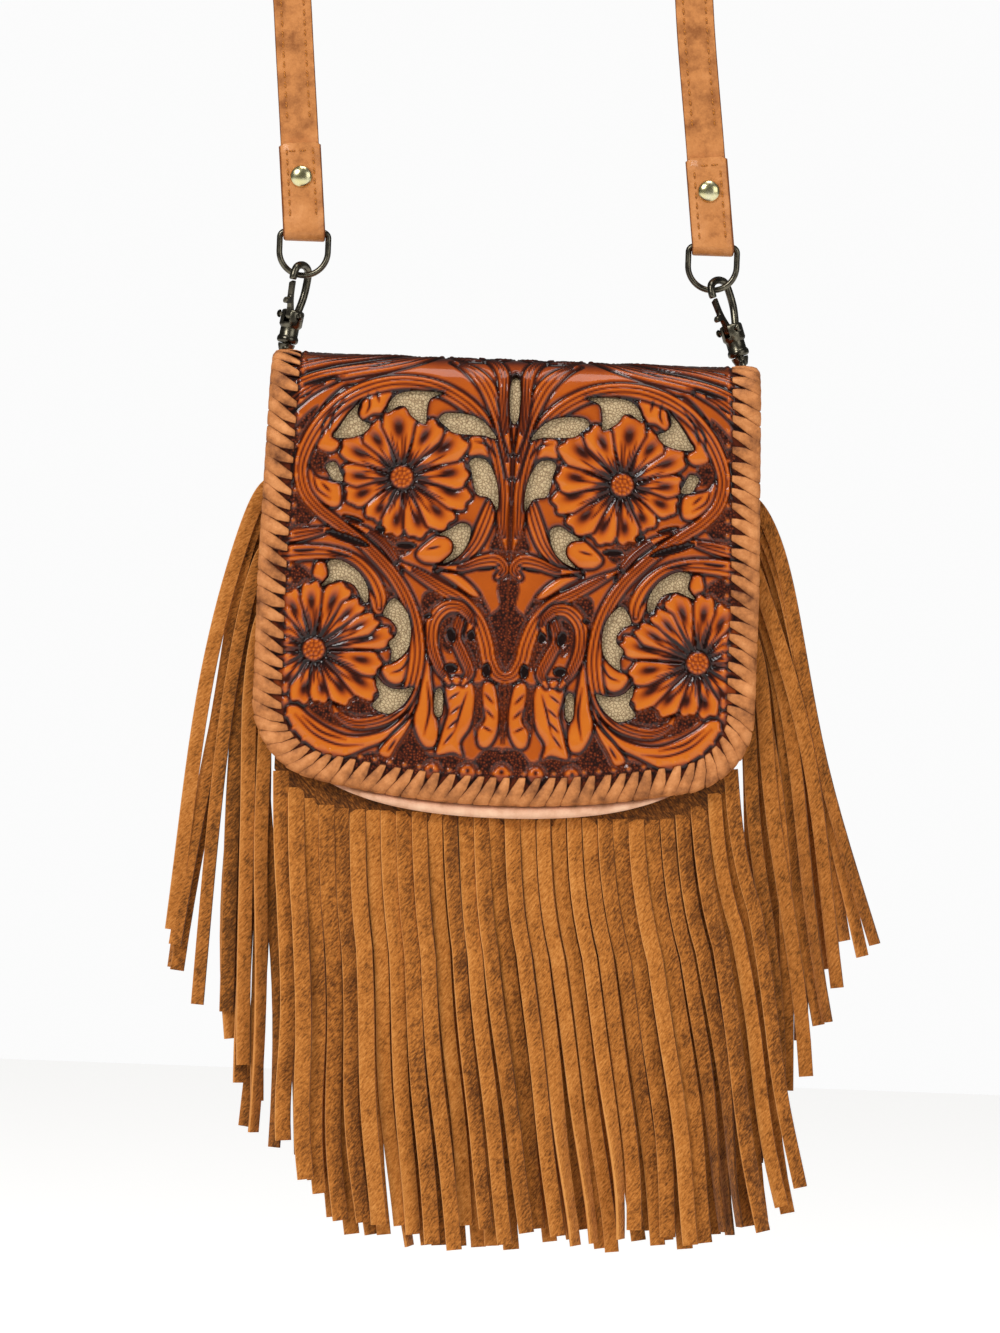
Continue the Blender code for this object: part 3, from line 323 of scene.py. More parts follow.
@dataclass(frozen=True)
class Suede(Finish):
    """Split hide with a raised nap, cut to strips: soft streaks, short dark nap marks, pale cut edges; the
    tone it reads also paints a highlight on each strip's left edge and shade on its right.
    """

    light: str = "D8924A"
    middle: str = "B26C2A"
    dark: str = "6E3E14"
    streak_mm: float = 1.1
    slant: float = -0.75

    def build(self) -> Material:
        """Returns the material, whose marks follow the piece's own UV map and lie slanted across it.

        Returns:
            The material.
        """
        material, tree, shader, _ = self.start()
        place = add(tree, "UVMap", {"uv_map": "along"}).outputs[0]
        place = add(tree, "Mapping", None, {"Vector": place, "Rotation": (0.0, 0.0, self.slant)}).outputs[0]
        place = add(tree, "Mapping", None, {"Vector": place, "Scale": (1.5, 0.45, 1.0)}).outputs[0]
        scale = 1000 / self.streak_mm
        marks = add(tree, "TexNoise", None,
                    {"Vector": place, "Scale": scale, "Detail": 3.0, "Roughness": 0.7})
        broad = add(tree, "TexNoise", None, {"Vector": place, "Scale": scale / 9, "Detail": 3.0})
        tone = self.attribute(tree, "tone")
        sum_one = add(tree, "Math", {"operation": "MULTIPLY_ADD"},
                      {0: marks.outputs["Fac"], 1: 0.6, 2: tone}).outputs[0]
        total = add(tree, "Math", {"operation": "MULTIPLY_ADD"},
                    {0: broad.outputs["Fac"], 1: 0.22, 2: sum_one}).outputs[0]
        stops = [(0.22, "3C2009"), (0.33, self.dark), (0.45, self.middle), (0.63, self.light)]
        colour = add(tree, "ValToRGB", {"stops": stops}, {"Fac": total}).outputs[0]
        tree.links.new(colour, shader.inputs["Base Color"])
        fuzz = add(tree, "TexNoise", None, {"Vector": place, "Scale": 2.2 * scale, "Detail": 3.0})
        fuzz = fuzz.outputs["Fac"]
        rough = add(tree, "Math", {"operation": "ADD"}, {0: fuzz, 1: marks.outputs["Fac"]}).outputs[0]
        self.relief(tree, shader, rough, 0.3, 0.7)
        shader.inputs["Roughness"].default_value = 0.92
        shader.inputs["Sheen Weight"].default_value = 0.08
        shader.inputs["Sheen Roughness"].default_value = 0.5
        shader.inputs["Specular IOR Level"].default_value = 0.2
        return material


@dataclass(frozen=True)
class Metal(Finish):
    """Cast zinc or brass with a plated skin: mirror-like with faint tumbling scratches and dulled, worn
    patches.
    """

    colour: str = "5A554A"
    worn: str = "8C8672"
    roughness: float = 0.22

    def build(self) -> Material:
        """Makes the material and its nodes.

        Returns:
            The material.
        """
        material, tree, shader, place = self.start()
        wear = add(tree, "TexNoise", None, {"Vector": place, "Scale": 260.0, "Detail": 5.0}).outputs["Fac"]
        stops = [(0.4, self.colour), (0.75, self.worn)]
        colour = add(tree, "ValToRGB", {"stops": stops}, {"Fac": wear}).outputs[0]
        tree.links.new(colour, shader.inputs["Base Color"])
        shader.inputs["Metallic"].default_value = 1.0
        span = {"Value": wear, "To Min": self.roughness - 0.06, "To Max": self.roughness + 0.16}
        tree.links.new(add(tree, "MapRange", None, span).outputs[0], shader.inputs["Roughness"])
        scratch = add(tree, "TexNoise", None, {"Vector": place, "Scale": 2400.0, "Detail": 2.0})
        scratch = scratch.outputs["Fac"]
        self.relief(tree, shader, scratch, 0.03, 0.5)
        return material


@dataclass(frozen=True)
class Thread(Finish):
    """Waxed polyester thread, two plies laid up, whose twist shows as fine slanted ribs."""

    colour: str = "C97A20"

    def build(self) -> Material:
        """Makes the material and its nodes.

        Returns:
            The material.
        """
        material, tree, shader, place = self.start()
        ply = add(tree, "TexWave", {"bands_direction": "DIAGONAL"}, {"Vector": place, "Scale": 500.0})
        lo, hi = srgb("8A4E12"), srgb(self.colour)
        mix = add(tree, "Mix", {"data_type": "RGBA"}, {0: ply.outputs["Fac"], 6: lo, 7: hi}).outputs[2]
        tree.links.new(mix, shader.inputs["Base Color"])
        shader.inputs["Roughness"].default_value = 0.5
        self.relief(tree, shader, ply.outputs["Fac"], 0.1)
        return material


def lifted(points: Points) -> np.ndarray:
    """Turns points in millimetres, with heights from the flap's middle, to the frame's metres."""
    return (np.asarray(points, float) - (0.0, 0.0, HANG)) * MM


def smooth_line(points: Points, steps: int = 6, closed: bool = False) -> np.ndarray:
    """Points along a smooth curve through the given ones, by Catmull and Rom's rule.

    Args:
        points: the points, of any number of values each.
        steps: how many points each stretch gets.
        closed: whether the curve ends where it starts.

    Returns:
        The curve's points.
    """
    given = np.asarray(points, float)
    if closed:
        given = np.vstack([given[-1], given, given[0], given[1]])
    else:
        given = np.vstack([2 * given[0] - given[1], given, 2 * given[-1] - given[-2]])
    share = np.arange(steps)[:, None] / steps
    found = []
    for a, b, c, d in zip(given, given[1:], given[2:], given[3:]):
        found.append(0.5 * (2 * b + (c - a) * share + (2 * a - 5 * b + 4 * c - d) * share**2
                            + (3 * b - a - 3 * c + d) * share**3))
    return np.vstack(found) if closed else np.vstack([*found, given[-2]])


def ease(values: Number) -> Number:
    """A soft step from 0 to 1."""
    held = np.clip(values, 0.0, 1.0)
    return held * held * (3 - 2 * held)


def piece(name: str, points: Points, faces: list, finish: Material, values: dict | None = None,
          along: np.ndarray | None = None, angle: float = 180.0) -> Object:
    """Makes an object whose place is in its mesh, with its faces turned outwards.

    Args:
        name: the object's name.
        points: its points in millimetres.
        faces: its faces.
        finish: its material.
        values: numbers for each point, by the name of the attribute that holds them.
        along: flat positions in millimetres for each point, for the UV map that runs along the piece.
        angle: the sharpest edge, in degrees, that is still shaded smooth.

    Returns:
        The object.
    """
    mesh = bpy.data.meshes.new(name)
    mesh.from_pydata(lifted(points).tolist(), [], [tuple(int(i) for i in face) for face in faces])
    work = bmesh.new()
    work.from_mesh(mesh)
    bmesh.ops.recalc_face_normals(work, faces=work.faces)
    work.to_mesh(mesh)
    work.free()
    for key, numbers in (values or {}).items():
        layer = mesh.attributes.new(key, "FLOAT", "POINT")
        layer.data.foreach_set("value", np.broadcast_to(numbers, len(points)).astype(np.float32))
    if along is not None:
        corners = np.empty(len(mesh.loops), np.int32)
        mesh.loops.foreach_get("vertex_index", corners)
        flat = np.asarray(along, float)[corners] * MM
        mesh.uv_layers.new(name="along").data.foreach_set("uv", flat.astype(np.float32).ravel())
    mesh.shade_smooth()
    if angle < 180.0:
        mesh.set_sharp_from_angle(angle=math.radians(angle))
    mesh.materials.append(finish)
    made = bpy.data.objects.new(name, mesh)
    bpy.context.scene.collection.objects.link(made)
    return made


def stand_for(made: Object, node: str) -> None:
    """Puts a piece in the place of a CAD node, on the body that the node rides on.

    Args:
        made: the piece.
        node: the CAD node that it replaces.
    """
    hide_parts(node)
    bodies = frame["record"]["behaviour"]["bodies"]
    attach(made, next(body for body, nodes in bodies.items() if node in nodes))


def skin(rings: tuple, closed: bool = False) -> list:
    """Faces that join rings of equal size, with flat ends unless the run is closed.

    Args:
        rings: how many rings, and how many points each has.
        closed: whether the last ring joins the first.

    Returns:
        The faces.
    """
    count, size = rings
    faces = []
    for i in range(count if closed else count - 1):
        here, there = i * size, ((i + 1) % count) * size
        for j in range(size):
            k = (j + 1) % size
            faces.append((here + j, here + k, there + k, there + j))
    if not closed:
        faces.append(tuple(range(size)))
        faces.append(tuple(range((count - 1) * size, count * size)))
    return faces


LEATHER_TOP = FLAP_TOP - FLAP_BEND + FLAP_FLAT + FLAP_BEND * math.pi / 2


def flap_surface(x: Number, level: Number, depth: Number) -> np.ndarray:
    """Points of the flap's leather.

    Args:
        x: how far across.
        level: the height along the leather: the real height on the flat front, then on round the bend.
        depth: how far in from the face.

    Returns:
        One point a row.
    """
    x, level, depth = np.broadcast_arrays(np.asarray(x, float), level, depth)
    run = LEATHER_TOP - level
    turn = np.clip((run - FLAP_FLAT) / FLAP_BEND, 0, math.pi / 2)
    drop = np.maximum(run - FLAP_FLAT - FLAP_BEND * math.pi / 2, 0)
    y = HINGE_Y - np.minimum(run, FLAP_FLAT) - FLAP_BEND * np.sin(turn) + depth * np.sin(turn)
    z = FLAP_TOP - FLAP_BEND * (1 - np.cos(turn)) - drop - depth * np.cos(turn)
    return np.stack([x, y, z], axis=-1)


def flap_edge(inset: float = 0.0, top: float = LEATHER_TOP, drop: float = 0.0, steps: int = 48) -> np.ndarray:
    """The flap's edge as (x, level), from its top right round to its top left.

    Args:
        inset: how far inside the leather's edge.
        top: the level at which it starts and ends.
        drop: how far the lowest part hangs below the leather's edge.
        steps: how many points the bottom gets.

    Returns:
        The edge's points.
    """
    side = np.linspace(top, FLAP_CORNER_HEIGHT, 40)
    widen = np.clip((FLAP_TOP - side) / FLAP_TOP, 0, 1)
    half = FLAP_TOP_HALF_WIDTH + (FLAP_HALF_WIDTH - FLAP_TOP_HALF_WIDTH) * widen - inset
    right = list(zip(half, side))
    for turn in np.linspace(0, FLAP_CORNER_SWEEP, 14)[1:]:
        radius = FLAP_CORNER - inset
        right.append((FLAP_HALF_WIDTH - FLAP_CORNER + radius * math.cos(turn),
                      FLAP_CORNER_HEIGHT - radius * math.sin(turn)))
    start, foot = right[-1]
    rise = foot - FLAP_BOTTOM - inset
    for x in np.linspace(start, 0, steps // 2 + 1)[1:]:
        share = (x / start) ** 2
        right.append((x, FLAP_BOTTOM + inset + rise * share - drop * (1 - share**2)))
    return np.array(right + [(-x, z) for x, z in reversed(right[:-1])])


def reach(x: np.ndarray, z: np.ndarray, loop: Points) -> np.ndarray:
    """How far points lie inside a closed loop; outside it the distance is negative.

    Args:
        x: how far across each point is.
        z: each point's height.
        loop: the loop's (x, height) points.

    Returns:
        The distances in millimetres.
    """
    best = np.full(x.shape, 1e9)
    within = np.zeros(x.shape, bool)
    for (ax, az), (bx, bz) in zip(loop, np.roll(loop, -1, axis=0)):
        ex, ez = bx - ax, bz - az
        share = np.clip(((x - ax) * ex + (z - az) * ez) / max(ex * ex + ez * ez, 1e-9), 0, 1)
        best = np.minimum(best, (x - ax - share * ex) ** 2 + (z - az - share * ez) ** 2)
        if az != bz:
            crossing = ((az > z) != (bz > z)) & (x < ex * (z - az) / ez + ax)
            within ^= crossing
    return np.where(within, 1.0, -1.0) * np.sqrt(best)


@dataclass
class Canvas:
    """The left half of the flap's leather as it is tooled: a height, a darkness of antiquing and painted
    shade, and a ground at each point.
    """

    x: np.ndarray
    z: np.ndarray
    press: float = 0.75  # how far the beveller sinks the leather beside a cut
    bevel: float = 1.7  # how far out it sinks it

    def __post_init__(self) -> None:
        """Starts from plain dyed leather all over."""
        self.rise = np.full(self.x.shape, 0.3)
        self.dye = np.full(self.x.shape, 0.3)
        self.ground = np.zeros(self.x.shape)

    def near(self, points: Points, margin: float) -> tuple:
        """The part of the canvas round some points, as slices of its rows and columns.

        Args:
            points: the (x, height) points.
            margin: how far past them to go, in millimetres.

        Returns:
            A slice of rows and a slice of columns, both empty where the points lie off the canvas.
        """
        points = np.asarray(points, float)
        low, high = points.min(axis=0) - margin, points.max(axis=0) + margin
        rows = np.nonzero((self.x[:, 0] >= low[0]) & (self.x[:, 0] <= high[0]))[0]
        columns = np.nonzero((self.z[0] >= low[1]) & (self.z[0] <= high[1]))[0]
        if not len(rows) or not len(columns):
            return slice(0, 0), slice(0, 0)
        return slice(rows[0], rows[-1] + 1), slice(columns[0], columns[-1] + 1)

    def lay(self, part: tuple, depth: np.ndarray, top: np.ndarray, tone: float) -> None:
        """Lays a raised form over what is there.

        Args:
            part: the slices that it touches.
            depth: how far each point lies inside its outline.
            top: its own height.
            tone: its dye, from 0 for bright to 1 for dark.
        """
        cover = np.clip(depth / 1.1 + 0.45, 0, 1)
        beside = np.clip(1 + depth / self.bevel, 0, 1)
        near = self.rise[part] - self.press * beside
        self.rise[part] = near * (1 - cover) + top * cover
        # beside the form the leather is darkened: painted shadow of the form on the one below, with antiquing
        # pooled in the bevel
        shade = np.clip(self.dye[part] + 0.85 * beside * (1 - 0.5 * self.ground[part]), 0, 1)
        own = tone + 0.3 * np.exp(-np.maximum(depth, 0) / 0.5)
        self.dye[part] = shade * (1 - cover) + own * cover
        self.ground[part] *= (1 - cover) * (1 - 0.6 * beside)

    def patch(self, loop: Points) -> None:
        """A patch of ground, pressed down and stippled with the backgrounder.

        Args:
            loop: its outline.
        """
        loop = smooth_line(loop, 4, closed=True)
        part = self.near(loop, 2.0)
        if self.x[part].size:
            inside = ease(reach(self.x[part], self.z[part], loop) / 1.2 + 0.4)
            self.rise[part] = self.rise[part] * (1 - inside) - 0.35 * inside
            self.dye[part] = np.clip(self.dye[part] + inside * (1 - inside), 0, 1)
            self.ground[part] = np.maximum(self.ground[part], inside)

    def leaf(self, loop: Points, crown: float = 0.8, tone: float = 0.1) -> None:
        """A leaf with this smooth outline and a rounded top.

        Args:
            loop: its outline.
            crown: how high its middle stands above its edge.
            tone: its dye, from 0 for bright to 1 for dark.
        """
        loop = smooth_line(loop, 5, closed=True)
        part = self.near(loop, 2.5)
        if self.x[part].size:
            depth = reach(self.x[part], self.z[part], loop)
            self.lay(part, depth, 0.45 + crown * (1 - np.exp(-np.maximum(depth, 0) / 1.8)), tone)

    def trace(self, line: Points, part: tuple) -> tuple:
        """How far points lie from a line whose third value is its half width.

        Args:
            line: the line's (x, height, half width) points.
            part: the slices of the canvas to look at.

        Returns:
            The distance, the signed distance to its left, its half width there and the share of its length.
        """
        x, z = self.x[part], self.z[part]
        best, side = np.full(x.shape, 1e9), np.zeros(x.shape)
        width, share = np.zeros(x.shape), np.zeros(x.shape)
        for i, (a, b) in enumerate(zip(line, line[1:])):
            ex, ez = b[0] - a[0], b[1] - a[1]
            long = max(ex * ex + ez * ez, 1e-9)
            t = np.clip(((x - a[0]) * ex + (z - a[1]) * ez) / long, 0, 1)
            away = np.hypot(x - a[0] - t * ex, z - a[1] - t * ez)
            closer = away < best
            best = np.where(closer, away, best)
            cross = ex * (z - a[1]) - ez * (x - a[0])
            side = np.where(closer, np.sign(cross) * away, side)
            width = np.where(closer, a[2] + (b[2] - a[2]) * t, width)
            share = np.where(closer, (i + t) / (len(line) - 1), share)
        return best, side, width, share

    def stem(self, line: Points, veins: tuple = (-0.3, 0.35), crown: float = 0.7, tone: float = 0.12) -> None:
        """A scroll stem along (x, height, half width) points, with veins cut at shares of its half width.

        Args:
            line: its middle line.
            veins: where its veins are cut, as shares of its half width.
            crown: how high its middle stands.
            tone: its dye, from 0 for bright to 1 for dark.
        """
        line = smooth_line(line, 6)
        part = self.near(line[:, :2], 6.0)
        if not self.x[part].size:
            return
        away, side, width, _ = self.trace(line, part)
        depth = width - away
        top = 0.5 + crown * np.sqrt(np.clip(1 - (away / np.maximum(width, 0.1)) ** 2, 0, 1))
        self.lay(part, depth, top, tone)
        for vein in veins:
            mark = np.exp(-(((side - vein * width) / 0.5) ** 2)) * ease(depth / 0.6) * (width > 1.3)
            self.rise[part] -= 0.45 * mark
            self.dye[part] = np.clip(self.dye[part] + 0.6 * mark, 0, 1)

    def cut(self, line: Points, width: float = 0.52, depth: float = 0.45, dark: float = 0.8) -> None:
        """A decorative knife cut that tapers out at its ends.

        Args:
            line: its (x, height) points.
            width: its half width in millimetres.
            depth: how deep it is.
            dark: how much dye stays in it.
        """
        line = smooth_line([(x, z, 1.0) for x, z in line], 5)
        part = self.near(line[:, :2], 2.0)
        if self.x[part].size:
            away, _, _, share = self.trace(line, part)
            mark = np.exp(-((away / width) ** 2)) * np.sqrt(np.sin(math.pi * np.clip(share, 0.04, 0.96)))
            self.rise[part] -= depth * mark
            self.dye[part] = np.clip(self.dye[part] + dark * mark, 0, 1)

    def hollow(self, centre: tuple, size: float, depth: float = 0.4, dark: float = 0.6) -> None:
        """A soft round hollow pressed down with the shader, where the dye stays dark.

        Args:
            centre: its middle.
            size: how wide it is.
            depth: how deep it is.
            dark: how much dye stays in it.
        """
        part = self.near([centre], size)
        dx, dz = self.x[part] - centre[0], self.z[part] - centre[1]
        mark = np.exp(-((dx / (size / 2)) ** 2) - (dz / (size / 2)) ** 2)
        self.rise[part] -= depth * mark
        self.dye[part] = np.clip(self.dye[part] + dark * mark, 0, 1)

    def well(self, loop: Points, depth: float = 1.3) -> None:
        """A deep recess with steep walls and a glossy floor, darkened all through as painted shadow.

        Args:
            loop: its outline.
            depth: how deep its floor lies.
        """
        loop = smooth_line(loop, 5, closed=True)
        part = self.near(loop, 2.0)
        inside = ease(reach(self.x[part], self.z[part], loop) / 1.0 + 0.3)
        self.rise[part] = self.rise[part] * (1 - inside) - depth * inside
        # painted shadow: the whole recess takes the darkest tone
        self.dye[part] = np.maximum(self.dye[part], inside)
        self.ground[part] *= 1 - inside

    def flower(self, centre: tuple, disc: float, petals: tuple) -> None:
        """A flower seen from above.

        Args:
            centre: where it stands.
            disc: the radius of the dark ring round its eye.
            petals: each petal's direction in degrees, length and half angle, from the lowest to the topmost.
        """
        for degrees, length, half in petals:
            self.petal(centre, disc, math.radians(degrees), length, math.radians(half))
        part = self.near([centre], disc + 1.5)
        away = np.hypot(self.x[part] - centre[0], self.z[part] - centre[1])
        ring = ease((disc - away) / 0.7)
        eye = ease((disc - 1.3 - away) / 0.5)
        pebble = np.zeros(away.shape)
        for count, radius in ((1, 0.0), (6, 0.3 * disc), (12, 0.56 * disc)):
            for i in range(count):
                a = 2 * math.pi * (i + 0.5 * (count > 6)) / count
                u = self.x[part] - centre[0] - radius * math.cos(a)
                v = self.z[part] - centre[1] - radius * math.sin(a)
                pebble = np.maximum(pebble, np.exp(-(u * u + v * v) / 0.5))
        dome = 0.5 + 0.7 * np.sqrt(np.clip(1 - (away / disc) ** 2, 0, 1)) + 0.4 * pebble
        self.rise[part] = self.rise[part] * (1 - ring) + ring * (dome * eye - 0.35 * (1 - eye))
        tone = (0.62 - 0.6 * pebble) * eye + 1.0 * (1 - eye)
        self.dye[part] = self.dye[part] * (1 - ring) + ring * tone
        self.ground[part] *= 1 - ring

    def petal(self, centre: tuple, disc: float, turn: float, length: float, half: float) -> None:
        """One ruffled petal with a pressed cup near its tip and veins from the flower's eye.

        Args:
            centre: the flower's middle.
            disc: the radius of the ring round its eye.
            turn: the petal's direction in radians.
            length: how far its tip is from the middle.
            half: its half angle in radians.
        """
        shares = np.linspace(-1, 1, 25)
        ruffle = 1 - 0.2 * np.abs(shares) ** 3.4 + 0.025 * np.cos(2.4 * math.pi * shares + 5 * turn)
        outer = [(length * r, turn + s * half * 1.12) for s, r in zip(shares, ruffle)]
        inner = [(0.5 * length, turn + half * 0.95), (disc * 0.8, turn + half * 0.6),
                 (disc * 0.8, turn - half * 0.6), (0.5 * length, turn - half * 0.95)]
        loop = np.array([(centre[0] + r * math.cos(a), centre[1] + r * math.sin(a)) for r, a in outer + inner])
        part = self.near(loop, 2.5)
        if not self.x[part].size:
            return
        depth = reach(self.x[part], self.z[part], loop)
        dx, dz = self.x[part] - centre[0], self.z[part] - centre[1]
        out = np.hypot(dx, dz)
        off = (np.arctan2(dz, dx) - turn + math.pi) % (2 * math.pi) - math.pi
        share, across = np.clip((out - disc) / (length - disc), 0, 1), off / half
        folds = 0.16 * np.cos(5.2 * across + 3 * turn) * share
        top = 0.35 + 0.55 * share + folds + 0.4 * np.sqrt(np.clip(1 - across**2, 0, 1))
        self.lay(part, depth, top, 0.06)
        inside = ease(depth / 0.8)
        cup = np.exp(-(((share - 0.62) / 0.19) ** 2) - ((across - 0.15) / 0.4) ** 2) * inside
        self.rise[part] -= 0.6 * cup
        dark = 0.85 * cup + 0.35 * np.exp(-share / 0.14) * inside
        for vein in (-0.68, -0.38, -0.1, 0.42, 0.72):
            long = 0.45 + 0.22 * math.cos(7 * vein + 5 * turn)
            line = np.exp(-(((off - vein * half) * out / 0.42) ** 2)) * ease((long - share) / 0.2) * inside
            self.rise[part] -= 0.3 * line
            dark = dark + 0.6 * line
        self.dye[part] = np.clip(self.dye[part] + dark, 0, 1)


@dataclass
class Carving:
    """The flower and scroll tooling of the flap's left half, in (x, height) points; the right mirrors it."""

    flowers: tuple = (((-45.0, 40.3), 6.3), ((-78.4, -31.2), 6.3))
    upper_petals: tuple = (
        (-126, 21, 17), (-97, 24, 15), (-158, 24, 15), (-70, 25.5, 14), (178, 24, 14), (-44, 27.5, 15),
        (150, 28, 14), (-17, 29, 13), (123, 25.5, 15), (5, 27, 14), (93, 28.5, 18), (35, 30, 15),
        (61, 26.5, 14),
    )
    lower_petals: tuple = (
        (200, 21, 16), (170, 21, 16), (228, 22, 15), (142, 22, 14), (256, 22.5, 15), (116, 26, 13),
        (282, 22, 14),
        (93, 27.5, 12), (305, 26, 13), (69, 29.5, 12), (326, 31.5, 11), (48, 27, 11), (348, 28, 12),
        (12, 32.5, 9), (28, 28.5, 10),
    )
    windows: tuple = (
        ((-73.5, 55.8), (-71.5, 59.5), (-68, 65), (-63.7, 69.8), (-64.2, 65.5), (-62, 62.8), (-58.7, 61.4),
         (-61, 58), (-66.5, 55.8)),
        ((-51.9, 66.5), (-51, 71), (-46.8, 74.8), (-39.5, 76), (-29.3, 75.4), (-33.5, 73.6), (-35.3, 71.6),
         (-36, 67), (-36.4, 62.4), (-42, 65.5), (-44.4, 69), (-47.5, 69.3)),
        ((-30.7, 64.4), (-28.2, 67), (-21, 67.2), (-14.3, 65.4), (-9.8, 61.6), (-7.1, 57.3), (-12, 58.6),
         (-17, 58.7), (-24.3, 59.2), (-27.5, 61.5)),
        ((-17.7, 47.4), (-15.2, 49.3), (-10.8, 48.4), (-7.7, 43.4), (-5.6, 36.2), (-5.7, 28.2), (-8.8, 33.1),
         (-13.9, 34.4), (-15.5, 38), (-16.5, 43)),
        ((-29, 17.5), (-24.5, 20), (-20.4, 22.5), (-16.8, 21.5), (-16.3, 18), (-18.2, 12.4), (-22.4, 7.9),
         (-27.5, 5.9), (-23.5, 10), (-23, 14.2), (-25.5, 16.8)),
        ((-76.3, 44.2), (-72.7, 45.6), (-70.5, 42), (-69.1, 38.2), (-73, 38.2), (-75, 41)),
        ((-76.3, -5), (-73.2, -0.6), (-74.1, 4.5), (-69, 5.6), (-61.6, 1.3), (-57.5, -5.1), (-57.3, -11),
         (-59.5, -10.2), (-62.8, -4.5), (-68.7, -2.4), (-73, -4)),
        ((-50.7, -15.6), (-47, -9.3), (-43.2, -11.7), (-40.1, -16.7), (-39.1, -23.9), (-40.7, -30.6),
         (-46.4, -35.2), (-46.6, -31), (-47.8, -27.2), (-45.2, -24.5), (-45, -21), (-47.7, -17.7)),
        ((-52.4, -41.2), (-49.5, -44.3), (-46, -46), (-41.5, -46.2), (-37.3, -45.4), (-40, -50.9),
         (-44, -54.8), (-47.8, -56.3), (-53.7, -53.6), (-51, -49.1), (-52.3, -45)),
    )
    slits: tuple = ((0.0, 74.6, 3.9, 22.0), (-26.7, -51.1, 3.5, 12.0))
    # deep recesses, darkened as painted shadow: (x, height, width, tall, tilt)
    wells: tuple = (
        (-64.5, 22.8, 10, 2.6, -15), (-53.1, 18.8, 5, 3.6, -20), (-42.3, 12.6, 9.5, 4, 0),
        (-66.4, 14.6, 20, 4, -17), (-22.6, -23.3, 5.0, 7.5, 12), (-14.4, -23.3, 4.5, 5.4, 0),
        (-22.3, -36.8, 6.5, 5, 0), (-7.7, -37.3, 4.5, 7, 0), (-32.5, -15.8, 4.5, 3.2, 20),
    )
    low_stems: tuple = (
        ((-92, 75, 2.4), (-80, 80, 2.8), (-65, 83.8, 2.9), (-50, 87.5, 2.8), (-38, 93, 2.4), (-30, 100, 1.0)),
        ((-92, 83, 2.2), (-76, 89, 2.6), (-60, 93.5, 2.6), (-47, 100, 2.5), (-40, 108, 1.2)),
        ((-92, 68, 2.6), (-84, 74.5, 2.2), (-74, 79, 0.8)),
        ((-92, 14, 2.6), (-84, 15.8, 2.3), (-76, 17.6, 1.3), (-72, 19.5, 0.3)),
        ((-92, 100, 2.4), (-75, 108, 2.8), (-58, 106, 2.8), (-45, 113, 2.6), (-28, 121, 2.6),
         (-10, 116, 2.4)),
        ((-80, 124, 1.0), (-66, 119, 2.4), (-52, 122, 2.4), (-40, 128, 1.0)),
        ((-66, 21, 0.5), (-58, 17.5, 1.3), (-51, 12, 1.6), (-46.5, 6, 1.6), (-44.5, 1.5, 0.6)),
        ((-28, 101, 0.8), (-22, 96, 2.2), (-13, 95, 2.6), (-5, 98, 2.4), (-1, 105, 1.2)),
    )
    leaves: tuple = (
        ((-62.5, 74.5), (-55, 77), (-50, 75.5), (-51.5, 71), (-53.5, 66.5), (-58, 65.5), (-62.3, 62.5),
         (-63.6, 65.5), (-62.6, 69)),
        ((-62, 74), (-68, 77), (-75, 71.5), (-80, 64), (-82, 57), (-79.8, 51), (-74, 49.5), (-70.8, 53),
         (-73.8, 56.5), (-71.7, 60), (-68, 65.5), (-63.6, 70.2)),
        ((-84.8, 45), (-80, 39.5), (-75.4, 38), (-70.5, 36.8), (-69.4, 32), (-70.5, 27.6), (-75, 27.4),
         (-80, 30.6), (-84.5, 36.5)),
        ((-7.2, 56.8), (-12, 58.4), (-17, 58.3), (-19.3, 54), (-17.8, 50), (-13, 50.4), (-9.4, 48.4),
         (-7.2, 43.6), (-5.4, 38), (-3.6, 45)),
        ((-38, 9.5), (-34, 14), (-29.2, 17.4), (-25, 16.4), (-22.8, 13.8), (-23.4, 9.8), (-27.6, 6),
         (-31, 5.6), (-35.5, 6.3)),
        ((-50.7, -37.5), (-46.5, -35.6), (-41.4, -31.6), (-38.8, -25), (-37.6, -35), (-40, -41.5),
         (-44, -44.2), (-48.2, -42.6)),
        ((-78.2, 5), (-74.7, 4.2), (-73.6, -0.6), (-76.6, -4.8), (-79.8, -1), (-79.5, 2)),
        ((-88.5, -55), (-84, -54.5), (-79, -58.5), (-72, -62.8), (-64, -65.8), (-56, -65.6), (-47, -62.5),
         (-40.5, -56.5), (-37, -49), (-34.6, -42), (-34.2, -47), (-36.5, -54), (-41, -61), (-47.5, -67),
         (-56, -70.8), (-64, -74.4), (-71, -75), (-77, -71.5), (-83, -66.5), (-87.5, -60.5)),
        ((-50.5, -72.2), (-46.2, -74.4), (-43, -69), (-39, -62.5), (-36.8, -56.8), (-41.2, -61.2),
         (-46.4, -66.4)),
        ((-36.6, -58), (-34.8, -65), (-31.5, -69.4), (-27.3, -68.5), (-26.4, -62.5), (-28.2, -52),
         (-30.2, -41), (-31.6, -30), (-34.2, -38), (-34.8, -50)),
        ((-24, -41.5), (-18.5, -40.3), (-12.6, -43.8), (-12.2, -54), (-13.8, -61), (-17.3, -67), (-16.2, -73),
         (-20, -71.2), (-26.8, -72.4), (-25.6, -66), (-24, -60), (-22.6, -54), (-24, -48)),
        ((-8.6, -42.4), (-9, -49), (-7.6, -57), (-10.4, -62), (-9.6, -67.8), (-6, -68.6), (-3, -64),
         (-1.8, -57), (-2.6, -49), (-4.4, -42.8)),
        ((-30, 2.9), (-22, 2.2), (-15, -2.6), (-11.5, -7.5), (-16.5, -6.4), (-23, -1.6)),
    )
